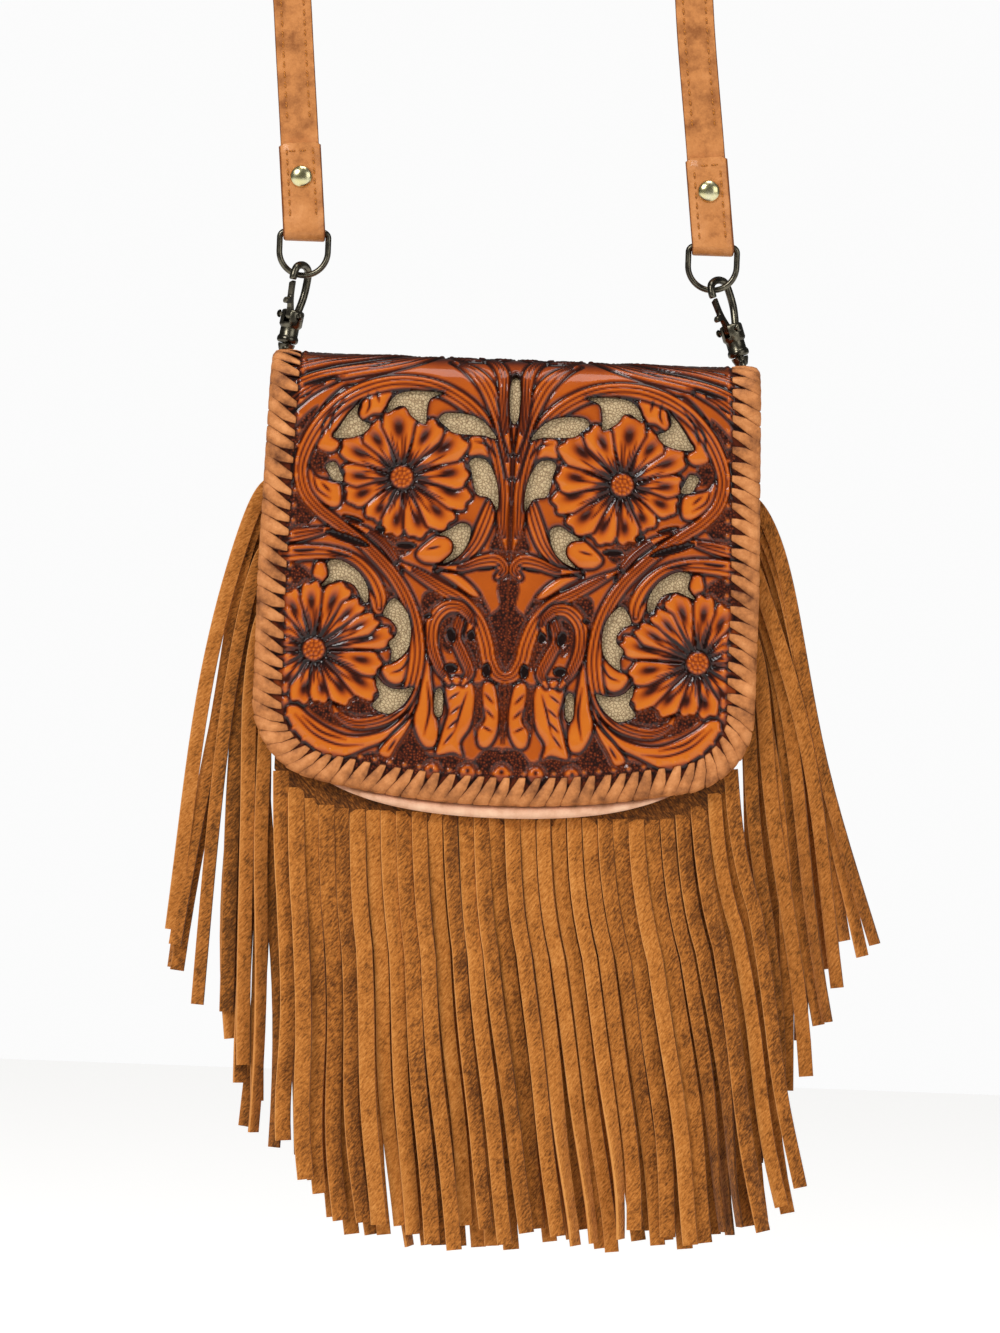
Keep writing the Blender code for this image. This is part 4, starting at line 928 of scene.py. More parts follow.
    high_stems: tuple = (
        ((-29.5, 3.2, 0.5), (-21, 6.2, 1.9), (-14.4, 13.5, 2.6), (-10.6, 22, 3.0), (-8, 30, 2.4),
         (-6.4, 36, 0.8)),
        ((-92, 7.4, 3.6), (-82, 8.4, 3.1), (-72, 8.2, 2.6), (-63.5, 5.2, 2.8), (-57, -1, 3.4),
         (-53.4, -8, 3.7), (-52.4, -13.4, 2.6)),
        ((-44.5, 5.2, 0.5), (-36, 0.6, 1.9), (-27, -4.8, 2.4), (-18.6, -9.6, 2.8), (-12, -17, 3.0),
         (-8.4, -26, 3.1), (-6.8, -33, 3.0), (-3.6, -38.6, 2.6), (0, -40.4, 2.4)),
        ((-17, -43, 0.8), (-14.6, -38, 1.9), (-17.6, -31, 2.2), (-20.6, -24, 1.9), (-18.6, -15.5, 1.6)),
        ((-22.4, -43.5, 0.8), (-27.2, -36, 2.0), (-30.4, -27, 2.5), (-30, -18, 2.7), (-25.2, -12.2, 2.6),
         (-19.2, -12, 2.2), (-14.8, -17, 1.5), (-16, -23, 0.8)),
        ((-29, 4.4, 0.4), (-20, 4.2, 1.5), (-12, 7.0, 2.3), (-5.4, 7.8, 2.7), (-2, 4.2, 2.2),
         (-4.4, 1.2, 1.1)),
        ((-1.4, 12, 0.5), (-3.2, 23, 2.1), (-3.6, 36, 2.6), (-5.5, 48, 2.8), (-9.4, 59, 2.9),
         (-16.4, 68.2, 3.0),
         (-26, 74.8, 3.0), (-37, 78.6, 3.0), (-49, 79, 3.0), (-61, 75.8, 3.0), (-71, 70, 3.0),
         (-79.3, 61, 3.0),
         (-84.6, 51, 2.9), (-86.6, 42, 2.7), (-84.4, 33, 2.6), (-78.4, 26, 2.5), (-70, 20, 2.3),
         (-61.5, 14, 2.2),
         (-54, 7.5, 2.3), (-47, 0, 2.5), (-41.4, -9, 2.7), (-37.8, -19, 3.0), (-36.2, -30, 3.1),
         (-37, -40, 3.0),
         (-39.8, -49.6, 2.8), (-44.4, -55.6, 2.5), (-51, -59.3, 2.3), (-60, -60.8, 2.2), (-66.8, -58.2, 1.7),
         (-69.6, -54, 0.6)),
        ((-1.4, 42, 0.6), (-3.4, 55, 2.1), (-6.4, 67, 2.9), (-11.4, 78, 3.1), (-18.4, 86, 2.5),
         (-26, 91, 0.6)),
        ((-1.2, 52, 0.6), (-3.4, 62, 1.5), (-4.4, 74, 2.0), (-5.2, 84, 2.4), (-9, 92, 2.2), (-15, 97, 0.8)),
    )
    cuts: tuple = (
        ((-85, -58), (-77, -65.5), (-67, -69.6), (-57, -69.4)), ((-82, -58.5), (-74, -64.6), (-64, -67.6)),
        ((-46, -65), (-40.5, -59), (-37.6, -52)), ((-32, -64), (-30.4, -54), (-31.6, -43)),
        ((-46.6, -71.4), (-43.6, -66.6)), ((-72, 70), (-77.4, 62.5), (-78.4, 55.5)),
        ((-68.6, 72.5), (-74, 64.5), (-75.4, 58)), ((-60, 74), (-59.2, 69.4), (-60.4, 66)),
        ((-56.4, 75), (-55.4, 70.6)), ((-81.4, 40.4), (-79.4, 34.4), (-74, 30.6)),
        ((-77.6, 36.8), (-74, 33.4)), ((-15.6, 56), (-10.4, 54.6), (-7, 50)), ((-33.6, 11.4), (-28.6, 12.6)),
        ((-46.4, -39.6), (-42.4, -38), (-39.6, -33.6)), ((-23, -43.8), (-18.4, -43.6)),
        ((-22.6, -49.6), (-18.6, -46.6)), ((-21.8, -55.6), (-17.8, -52)), ((-22.6, -61.6), (-18.8, -57.6)),
        ((-24, -68), (-20, -62.6)), ((-15.4, -46.6), (-17.6, -54), (-19.6, -62)),
        ((-8, -46.6), (-4.4, -50.6)),
        ((-7.4, -53), (-4, -56.6)), ((-8.4, -60), (-4.8, -62)), ((-12, 3.4), (-7, 4.4), (-4, 6)),
        ((-84, 76.6), (-70, 80.6)), ((-60, 85), (-50, 89)), ((-88, 71), (-83, 73.6)), ((-74, 9), (-65, 7)),
        ((-58.4, -2), (-54.6, -9)), ((-88, 8.4), (-80, 9.2)),
    )
    moons: tuple = (-28.6, -14.0, 0.0)
    patches: tuple = (
        ((0, 31), (-3, 27), (-6.6, 18.6), (-8.4, 12.4), (-4, 10), (0, 9.6)),
        ((0, 3), (-3, 1.6), (-4.6, -4), (-3.6, -11), (-8.4, -16), (-6, -24), (-4.4, -32), (0, -39)),
        ((-91, 36), (-85, 33.6), (-79, 25), (-83, 19), (-91, 17)),
        ((-92, 4), (-86, 4), (-81.5, 1), (-80.4, -4), (-85, -5.6), (-92, -10)),
        ((-82, -51), (-70, -52), (-65, -55), (-65, -62), (-72, -60.6), (-79, -56)),
        ((-66, -52), (-57, -49), (-52.6, -52), (-54, -57), (-62, -58.6)),
        ((-64, -76), (-53, -71.6), (-47, -74), (-42, -66), (-38, -61), (-35, -66), (-31, -71), (-26, -72.6),
         (-18, -72), (-12, -74), (-8, -70), (0, -69), (0, -80), (-20, -80.6), (-50, -80.6), (-63, -79)),
        ((-12.6, -43.4), (-8.8, -43.4), (-8.8, -52), (-7.8, -58), (-10.2, -64), (-12.4, -60), (-12, -52)),
        ((-2.8, -42), (0, -40.8), (0, -66), (-1.4, -63), (-2.2, -52)),
        ((-81.6, 51), (-78.6, 57), (-76, 50), (-74.8, 45), (-77.6, 41), (-82, 43.6)),
        ((-55, 14), (-48, 8), (-42, 8.6), (-40, 12), (-44, 16), (-51, 18)),
        ((-34, -6), (-27, -6.4), (-21, -11.6), (-27, -12.4), (-32, -17), (-35, -26), (-35.6, -14)),
        ((-26, -17), (-21, -15), (-18.6, -19), (-22, -26), (-22.6, -31), (-26.4, -28), (-27.6, -22)),
        ((-21, -1.6), (-13, -4), (-7, -13), (-10, -15.6), (-15, -10), (-20, -6)),
        ((-58, -2.6), (-50, -4), (-45, -9), (-49, -12), (-53, -16), (-56, -10)),
        ((-90, 58), (-84, 66), (-80, 68), (-86, 56), (-91, 46)),
        ((-16, -19), (-12.4, -20), (-10, -28), (-8.6, -36), (-12.6, -36), (-15.6, -30), (-17.4, -25)),
    )

    def tool(self, canvas: Canvas) -> None:
        """Tools the whole pattern on the canvas, from its lowest forms to its topmost.

        Args:
            canvas: the leather to tool.
        """
        for loop in self.patches:
            canvas.patch(loop)
        for line in self.low_stems:
            canvas.stem(line)
        turns = np.linspace(0, 2 * math.pi, 13)[:-1]
        for x in self.moons:
            canvas.leaf([(x + 3.4 * math.cos(a), -79.6 + 3.6 * math.sin(a)) for a in turns], 0.4, 0.15)
            canvas.hollow((x, -78.4), 1.8, 0.5, 0.9)
        for loop in self.leaves:
            canvas.leaf(loop)
        for (centre, disc), petals in zip(self.flowers, (self.upper_petals, self.lower_petals)):
            canvas.flower(centre, disc, petals)
        for line in self.high_stems:
            canvas.stem(line)
        for line in self.cuts:
            canvas.cut(line)
        for x, z, wide, tall, tilt in self.wells:
            canvas.well(self.oval(x, z, wide, tall, tilt))

    def oval(self, x: float, z: float, wide: float, tall: float, tilt: float) -> list:
        """The outline of an oval.

        Args:
            x: its middle across.
            z: its middle's height.
            wide: its width.
            tall: its height.
            tilt: its turn in degrees.

        Returns:
            Its (x, height) points.
        """
        turn, found = math.radians(tilt), []
        for i in range(10):
            a = 2 * math.pi * i / 10
            u, w = wide / 2 * math.cos(a), tall / 2 * math.sin(a)
            across, up = math.cos(turn), math.sin(turn)
            found.append((x + u * across - w * up, z + u * up + w * across))
        return found

    def openings(self) -> list:
        """The openings of the left half and the middle, as smooth loops of (x, height).

        Returns:
            One list of (x, height) points for each window.
        """
        loops = [smooth_line(loop, 5, closed=True) for loop in self.windows]
        for x, z, wide, tall in self.slits:
            ends = [(x + wide / 2 * s, z + tall / 2 * t) for s, t in
                    ((0, -1), (0.75, -0.8), (1, -0.4), (1, 0.4), (0.75, 0.8), (0, 1), (-0.75, 0.8), (-1, 0.4),
                     (-1, -0.4), (-0.75, -0.8))]
            loops.append(smooth_line(ends, 4, closed=True))
        return loops


def clipped(points: np.ndarray, triangles: np.ndarray, depth: np.ndarray, values: list) -> tuple:
    """Cuts triangles along the line where a depth is nought and keeps the side where it is positive.

    Args:
        points: the flat points.
        triangles: three point numbers each.
        depth: the depth at each point.
        values: arrays of numbers at each point, which are carried along.

    Returns:
        The points, triangles and values that are left.
    """
    within = depth > 0
    count = within[triangles].sum(axis=1)
    whole, mixed = triangles[count == 3], triangles[(count == 1) | (count == 2)]
    first = [np.argmax(within[face]) if within[face].sum() == 1 else np.argmin(within[face]) for face in mixed]
    turned = np.array([np.roll(face, -k) for face, k in zip(mixed, first)])
    pairs = np.vstack([turned[:, [0, 1]], turned[:, [0, 2]]])
    unique, where = np.unique(np.sort(pairs, axis=1), axis=0, return_inverse=True)
    where = where.ravel() + len(points)
    a, b = unique.T
    share = depth[a] / (depth[a] - depth[b])

    def joined(numbers: np.ndarray) -> np.ndarray:
        """The numbers with those of the cut points after them."""
        part = share if numbers.ndim == 1 else share[:, None]
        return np.concatenate([numbers, numbers[a] * (1 - part) + numbers[b] * part])

    near, far = where[: len(turned)], where[len(turned) :]
    single = within[turned[:, 0]]
    lone = np.stack([turned[:, 0], near, far], axis=1)[single]
    pair = turned[~single]
    quads = np.vstack([
        np.stack([near[~single], pair[:, 1], pair[:, 2]], axis=1),
        np.stack([near[~single], pair[:, 2], far[~single]], axis=1),
    ])
    faces = np.vstack([whole, lone, quads])
    used, numbered = np.unique(faces, return_inverse=True)
    return joined(points)[used], numbered.reshape(-1, 3), [joined(v)[used] for v in values]


def mirrored(points: np.ndarray, triangles: np.ndarray, values: list) -> tuple:
    """Adds the mirror image across x = 0 to a flat half sheet, sharing the points on the middle line.

    Args:
        points: the half's flat points.
        triangles: its triangles.
        values: its numbers for each point.

    Returns:
        The whole sheet's points, triangles and values.
    """
    middle = np.abs(points[:, 0]) < 1e-6
    others = np.nonzero(~middle)[0]
    twin = np.arange(len(points))
    twin[others] = len(points) + np.arange(len(others))
    points = np.vstack([points, points[others] * (-1, 1)])
    triangles = np.vstack([triangles, twin[triangles][:, ::-1]])
    return points, triangles, [np.concatenate([v, v[others]]) for v in values]


def rim(triangles: np.ndarray) -> np.ndarray:
    """The directed edges that only one triangle has.

    Args:
        triangles: three point numbers each.

    Returns:
        Pairs of point numbers.
    """
    edges = np.vstack([triangles[:, [0, 1]], triangles[:, [1, 2]], triangles[:, [2, 0]]])
    keys = edges[:, 0] * (edges.max() + 1) + edges[:, 1]
    back = edges[:, 1] * (edges.max() + 1) + edges[:, 0]
    return edges[~np.isin(keys, back)]


def thick_sheet(points: Points, triangles: np.ndarray, rise: np.ndarray, depth: float, thickness: float,
                fill: Points, laid: Callable = flap_surface) -> tuple:
    """A sheet laid on a surface, with a finer front face than its rear.

    Args:
        points: the front's (x, level) points.
        triangles: the front's triangles.
        rise: how far each front point stands out.
        depth: how far in the front lies.
        thickness: the sheet's thickness.
        fill: (x, level) points inside the rear face that let it bend.
        laid: turns across, level and depth to points.

    Returns:
        The solid's points and faces, and for each point its number in the front.
    """
    edges = rim(triangles)
    loop, where = np.unique(edges, return_inverse=True)
    where = where.reshape(-1, 2)
    flat = [Vector(p) for p in points[loop]] + [Vector(p) for p in fill]
    found = delaunay_2d_cdt(flat, [tuple(int(i) for i in e) for e in where], [], 0, 1e-7)
    spots = np.array([tuple(p) for p in found[0]])
    rear = np.array(found[2])
    middle = spots[rear].mean(axis=1)
    rear = rear[covered(middle, points[edges])]
    origin = np.zeros(len(spots), int)
    for new, old in enumerate(found[3]):
        origin[new] = loop[old[0]] if old and old[0] < len(loop) else -1
    back_of = {int(old): len(points) + new for new, old in enumerate(origin) if old >= 0}
    solid = np.vstack([
        laid(points[:, 0], points[:, 1], depth - rise),
        laid(spots[:, 0], spots[:, 1], depth + thickness),
    ])
    faces = [tuple(face) for face in triangles]
    faces += [tuple(face[::-1] + len(points)) for face in rear]
    faces += [(b, a, back_of[int(a)], back_of[int(b)]) for a, b in edges]
    nearest = np.concatenate([np.arange(len(points)), np.where(origin >= 0, origin, 0)])
    return solid, faces, nearest


def covered(spots: np.ndarray, edges: np.ndarray) -> np.ndarray:
    """Tells which flat spots lie inside a set of closed edges, by counting those above each spot.

    Args:
        spots: the (x, height) spots.
        edges: each edge's two points.

    Returns:
        One truth value a spot.
    """
    found = np.zeros(len(spots), bool)
    for a, b in edges:
        if a[0] != b[0]:
            over = (a[0] > spots[:, 0]) != (b[0] > spots[:, 0])
            height = a[1] + (b[1] - a[1]) * (spots[:, 0] - a[0]) / (b[0] - a[0])
            found ^= over & (height > spots[:, 1])
    return found


def spread(*stretches: tuple) -> np.ndarray:
    """Numbers that run through (start, end, step) stretches with about those steps."""
    found = [np.linspace(a, b, max(round((b - a) / step), 1) + 1)[:-1] for a, b, step in stretches]
    return np.concatenate([*found, [stretches[-1][1]]])


@dataclass
class CarvedPanel:
    """The flap's face: one hide, tooled, dyed, cut through at its windows and lacquered."""

    cell: float = 0.66
    border: float = 9.5  # what the lace covers
    rounding: float = 1.2  # how far in from a window its edge is rounded
    shaded_from: float = 84.0  # above this level the leather turns to the fold, where painted shade darkens it

    def build(self, finish: Material) -> Object:
        """Makes the panel.

        Args:
            finish: its material.

        Returns:
            The object, which rides on the flap.
        """
        cell = self.cell
        across = spread((-101.4, -91, 2.4 * cell), (-91, 0, cell))
        along = spread((-91.5, -84, 2 * cell), (-84, 97, cell), (97, LEATHER_TOP, 2.2 * cell))
        x, z = np.meshgrid(across, along, indexing="ij")
        design = Carving()
        canvas = Canvas(x, z)
        design.tool(canvas)
        outline = flap_edge(0.4)
        inner = reach(x, z, outline)
        inner = np.where(z > LEATHER_TOP - 1, np.minimum(100.0, FLAP_TOP_HALF_WIDTH - 0.4 + x), inner)
        depth = inner.copy()
        for loop in design.openings():
            part = canvas.near(loop, 8)
            depth[part] = np.minimum(depth[part], -reach(x[part], z[part], loop))
        self.soften(canvas, inner, depth)
        count = len(along)
        corner = (np.arange(len(across) - 1)[:, None] * count + np.arange(count - 1)).ravel()
        triangles = np.vstack([
            np.stack([corner, corner + count, corner + count + 1], axis=1),
            np.stack([corner, corner + count + 1, corner + 1], axis=1),
        ])
        flat = np.stack([x.ravel(), z.ravel()], axis=1)
        fields = [canvas.rise.ravel(), canvas.dye.ravel(), canvas.ground.ravel()]
        half = clipped(flat, triangles, depth.ravel(), fields)
        points, triangles, (rise, dye, ground) = mirrored(*half)
        fill = [(a, b) for b in np.arange(72, LEATHER_TOP - 1, 2.0) for a in np.arange(-93, 94, 6.0)]
        fill = np.array(fill)[np.abs(np.array(fill)[:, 0]) > 5]
        solid, faces, nearest = thick_sheet(points, triangles, rise, 0.0, FLAP_LEATHER, fill)
        front = np.arange(len(solid)) < len(points)
        values = {"dye": np.where(front, dye[nearest], 1.0), "ground": np.where(front, ground[nearest], 0.0)}
        made = piece("carved_flap_face", solid, faces, finish, values, angle=60)
        stand_for(made, "flap_carved_panel")
        return made

    def soften(self, canvas: Canvas, inner: np.ndarray, depth: np.ndarray) -> None:
        """Rounds the windows' edges, flattens the border under the lace, and paints shade on the fold and on
        the border that shows between the lace turns.

        Args:
            canvas: the tooled leather.
            inner: how far each point lies inside the flap's edge.
            depth: how far it lies inside the leather that is left.
        """
        canvas.rise *= ease((inner - self.border + 1.0) / 1.5)
        inside = np.maximum(depth, 0)
        close = np.where(inner > self.border, 1 - ease(inside / self.rounding), 0)
        canvas.rise = canvas.rise * (1 - 0.3 * close) - 0.85 * close**2
        canvas.ground *= 1 - close
        beads, _ = walk(flap_edge(self.border + 1.6, LEATHER_TOP - 12.0), 6.1)
        for bead in beads[beads[:, 0] < 1]:
            part = canvas.near([bead], 3)
            knob = np.exp(-((canvas.x[part] - bead[0]) ** 2 + (canvas.z[part] - bead[1]) ** 2) / 0.75)
            canvas.rise[part] += 0.75 * knob
            canvas.dye[part] *= 1 - 0.9 * knob
            canvas.ground[part] *= 1 - knob
        edge = np.exp(-inside / 0.75) * (inner > self.border)
        # painted shade on the fold, where the leather turns over the top
        fold = 0.5 * ease((canvas.z - self.shaded_from) / 12)
        # painted shade on the border under the lace, which shows between its turns
        painted_lace_gap_shade = 0.35 * ease((self.border + 1.6 - inner) / 2.0)
        canvas.dye = np.clip(canvas.dye + 0.8 * edge + fold + painted_lace_gap_shade, 0, 1)


@dataclass
class Inlay:
    """The foil leather behind the windows: one flat sheet that turns over the fold with the flap."""

    inset: float = 1.5
    top: float = LEATHER_TOP - FLAP_FLAT

    def build(self, finish: Material) -> Object:
        """Makes the sheet and returns it.

        Args:
            finish: its material.

        Returns:
            The object, which rides on the flap.
        """
        edge = flap_edge(self.inset, self.top)
        cell = 4.0
        grid = [(a, b) for b in np.arange(-88, self.top - 1, cell) for a in np.arange(-98, 99, cell)]
        grid = np.array(grid)
        grid = grid[reach(grid[:, 0], grid[:, 1], edge) > 1.5]
        points, triangles = filled(edge, grid)
        swell = np.zeros(len(points))
        solid, faces, _ = thick_sheet(points, triangles, swell, FLAP_LEATHER + FIT, INLAY, grid[::3])
        made = piece("foil_sheet", solid, faces, finish, angle=50)
        stand_for(made, "flap_inlay")
        return made


def filled(edge: Points, inside_points: Points) -> tuple:
    """Triangles that fill one closed edge, through some points inside it.

    Args:
        edge: the edge's (x, height) points in order.
        inside_points: the points inside it.

    Returns:
        The flat points and the triangles.
    """
    count = len(edge)
    flat = [Vector(p) for p in edge] + [Vector(p) for p in inside_points]
    ring = [(i, (i + 1) % count) for i in range(count)]
    found = delaunay_2d_cdt(flat, ring, [], 1, 1e-7)
    points = np.array([tuple(p) for p in found[0]])
    return points, np.array(found[2])


def walk(line: Points, pitch: float) -> tuple:
    """Even steps along a flat line.

    Args:
        line: its points.
        pitch: about how long each step is.

    Returns:
        The points, and the direction of the line at each.
    """
    line = np.asarray(line, float)
    lengths = np.concatenate([[0], np.cumsum(np.linalg.norm(np.diff(line, axis=0), axis=1))])
    places = np.linspace(0, lengths[-1], round(lengths[-1] / pitch) + 1)
    points = np.stack([np.interp(places, lengths, line[:, i]) for i in range(line.shape[1])], axis=1)
    along = np.gradient(points, axis=0)
    return points, along / np.linalg.norm(along, axis=1)[:, None]


@dataclass
class FlapLining:
    """The natural leather behind the flap, whose free edge rolls forward below the lace."""

    drop: float = 7.7
    roll: float = 4.0
    reach_x: float = 78.0

    def build(self, finish: Material) -> Object:
        """Makes the sheet and returns it.

        Args:
            finish: its material.

        Returns:
            The object, which rides on the flap.
        """
        edge = flap_edge(0.6, LEATHER_TOP - 5.6, self.drop, 72)
        start = FLAP_BOTTOM + 3.0
        fine, coarse = np.arange(FLAP_BOTTOM - 7.2, start, 0.9), np.arange(start, edge[0, 1] - 2, 3.0)
        rows = np.concatenate([fine, coarse])
        grid = np.array([(a, b) for b in rows for a in np.arange(-98, 99, 2.4)])
        grid = grid[reach(grid[:, 0], grid[:, 1], edge) > 0.7]
        points, triangles = filled(edge, grid)
        x, level = points.T
        bottom = np.interp(x, *self.leather_edge())
        taper = np.clip(1 - (x / self.reach_x) ** 4, 0, 1)
        below = np.clip((bottom - 0.6 - level) / np.maximum(self.drop * taper, 0.5), 0, 1) * (np.abs(x) < 78)
        wave = 1 + 0.12 * np.sin(x / 9.0) + 0.08 * np.sin(x / 4.1 + 1.0)
        rise = self.roll * taper * np.sin(math.pi * np.minimum(below * 0.9, 1)) * wave
        # painted shadow under the flap's edge, on the lining just below the lace
        shade = np.clip(1.2 * np.exp(-((bottom - 1.4 - level).clip(0) / 1.1)), 0, 1)
        solid, faces, nearest = thick_sheet(points, triangles, rise, LINING_DEPTH, LINING, grid[::7])
        values = {"shade": shade[nearest]}
        made = piece("lining_sheet", solid, faces, finish, values, angle=70)
        stand_for(made, "flap_lining")
        return made

    def leather_edge(self) -> tuple:
        """The flap's bottom edge.

        Returns:
            Rising x values and the level at each.
        """
        edge = flap_edge(0.0)
        low = edge[edge[:, 1] < FLAP_CORNER_HEIGHT]
        order = np.argsort(low[:, 0])
        return low[order, 0], low[order, 1]


@dataclass
class Lace:
    """The whipstitched thong: slanted, overlapping turns of one lace; the beads at its holes are tooled into
    the carved panel.
    """

    border: float = 9.6
    side_pitch: float = 5.9
    thickness: float = 1.1
    out: float = 1.5
    slant: float = 5.5

    def build(self, finish: Material) -> Object:
        """Makes the whole lace as one piece and returns it.

        Args:
            finish: its material.

        Returns:
            The object, which rides on the flap.
        """
        edge = flap_edge(0.0, LEATHER_TOP - 12.0)
        points, along = walk(edge, self.side_pitch)
        solids, faces, shades = [], [], []
        for i, (spot, way) in enumerate(zip(points, along)):
            if i in (0, len(points) - 1):
                continue
            ring_points, ring_faces, shade = self.turn(spot, way, i)
            first = sum(len(s) for s in solids)
            solids.append(ring_points)
            faces += [tuple(first + k for k in face) for face in ring_faces]
            shades.append(shade)
        made = piece("whipstitched_lace", np.vstack(solids), faces, finish,
                     {"shade": np.concatenate(shades)}, angle=60)
        stand_for(made, "flap_lace")
        return made

    def turn(self, spot: np.ndarray, way: np.ndarray, number: int) -> tuple:
        """One turn of the lace over the edge.

        Args:
            spot: where it crosses the edge.
            way: the edge's direction there.
            number: its place along the edge.

        Returns:
            The turn's points, faces and shade.
        """
        outward = np.array([-way[1], way[0]])
        if np.dot(outward, spot - (0.0, 10.0)) < 0:
            outward = -outward
        lean = self.slant * (1.0 + 0.25 * math.sin(5.1 * number))
        width = 0.5 * self.side_pitch * 1.12
        rear = FLAP_LEATHER + INLAY + FIT
        path = [
            (-self.border - 0.4, 0.0, 0.3), (-self.border + 0.2, 0.03, -0.45),
            (-0.8 * self.border, 0.15, -0.8),
            (-0.45 * self.border, 0.42, -1.05), (-0.12 * self.border, 0.75, -0.95), (0.7, 0.95, -0.35),
            (self.out, 1.0, 0.9), (self.out, 1.0, rear - 0.5), (0.2, 1.0, rear + 0.75),
            (-0.45 * self.border, 1.1, rear + 0.85), (-0.8 * self.border, 1.15, rear + 0.55),
        ]
        tight = 1.0 + 0.05 * math.sin(2.9 * number)
        tapers = (0.3, 0.44, 0.6, 0.88, *[1.0] * 7)
        overlaps = (0.1, 0.2, 0.3, 0.25, 0.12, *[0.1] * 6)
        # painted shade along each turn's edges, darkest at the inner end where the turns part and go into the
        # holes
        painted_side_shade = (1.0, 1.0, 1.0, 0.9, 0.6, *[0.4] * 6)
        ways = (*[(1.0, 0.0)] * 6, *[(0.0, 1.0)] * 2, *[(-1.0, 0.0)] * 3)
        rings, shade = [], []
        for k, (step, share, depth) in enumerate(path):
            middle = spot + outward * step + way * lean * (share - 0.55)
            inward, beyond = ways[k]
            for side, lift in ((-1, 0.0), (-0.82, -0.42), (0, -0.55), (0.82, -0.42), (1, 0.0), (0, 0.35)):
                flat = middle + way * side * width * tapers[k] * tight
                flat = flat - outward * beyond * lift * self.thickness
                sunk = depth + lift * self.thickness * inward + overlaps[k] * side
                rings.append(flap_surface(flat[0], flat[1], sunk))
                shade.append(painted_side_shade[k] if abs(side) == 1 or k < 1 else 0.0 if abs(side) < 0.5 else 0.15)
        return np.array(rings), skin((len(path), 6)), np.array(shade)


def unit(rows: np.ndarray) -> np.ndarray:
    """Each row at a length of one."""
    return rows / np.linalg.norm(rows, axis=1)[:, None]


def section_run(centres: np.ndarray, across: np.ndarray, out: np.ndarray, widths: Number,
                thickness: float) -> tuple:
    """A flat band with rounded edges along a line.

    Args:
        centres: its middle line.
        across: the direction of its width at each point.
        out: the direction of its face at each point.
        widths: its width at each point, or one width.
        thickness: how thick it is.

    Returns:
        Points, faces, for each point (across, along) in millimetres, and 1 at the cut edges.
    """
    corners = ((-1, -0.25), (-0.97, 0.3), (-0.88, 0.5), (0, 0.5), (0.92, 0.5), (0.985, 0.3), (1, -0.25),
               (0.94, -0.5), (0, -0.5), (-0.94, -0.5))
    count, half = len(centres), np.broadcast_to(np.asarray(widths, float) / 2, len(centres))
    length = np.concatenate([[0], np.cumsum(np.linalg.norm(np.diff(centres, axis=0), axis=1))])
    points, along, edges = [], [], []
    for i in range(count):
        for side, lift in corners:
            points.append(centres[i] + across[i] * side * half[i] + out[i] * lift * thickness)
            along.append((side * half[i] + (0.5 - lift) * 3 * thickness, length[i]))
            edges.append(1.0 if abs(side) > 0.965 else 0.0)
    return np.array(points), skin((count, len(corners))), np.array(along), np.array(edges)


def cut_tone(rings: int) -> np.ndarray:
    """How much paler than its face a strip is at its left edge, a pale cut edge with a painted highlight, and
    darker at its right edge, which is painted shade.
    """
    return np.tile((0.4, 0.5, 0.1, 0.0, 0.0, -0.1, -0.16, 0.0, 0.0, 0.0), rings)


def gathered(parts: list) -> tuple:
    """Joins parts to one.

    Args:
        parts: (points, faces, arrays...) of each part.

    Returns:
        One set of points, faces and arrays.
    """
    points, faces, first = [], [], 0
    for part in parts:
        points.append(part[0])
        faces += [tuple(first + i for i in face) for face in part[1]]
        first += len(part[0])
    rest = [np.concatenate([part[k] for part in parts]) for k in range(2, len(parts[0]))]
    return (np.vstack(points), faces, *rest)


def seam_height(x: Number) -> Number:
    """Height of the pouch's lower seam, which the front fringe hangs from."""
    over = np.maximum(np.abs(x) - (POUCH_HALF_WIDTH - POUCH_CORNER), 0)
    return POUCH_BOTTOM + POUCH_CORNER - np.sqrt(np.maximum(POUCH_CORNER**2 - over**2, 0))


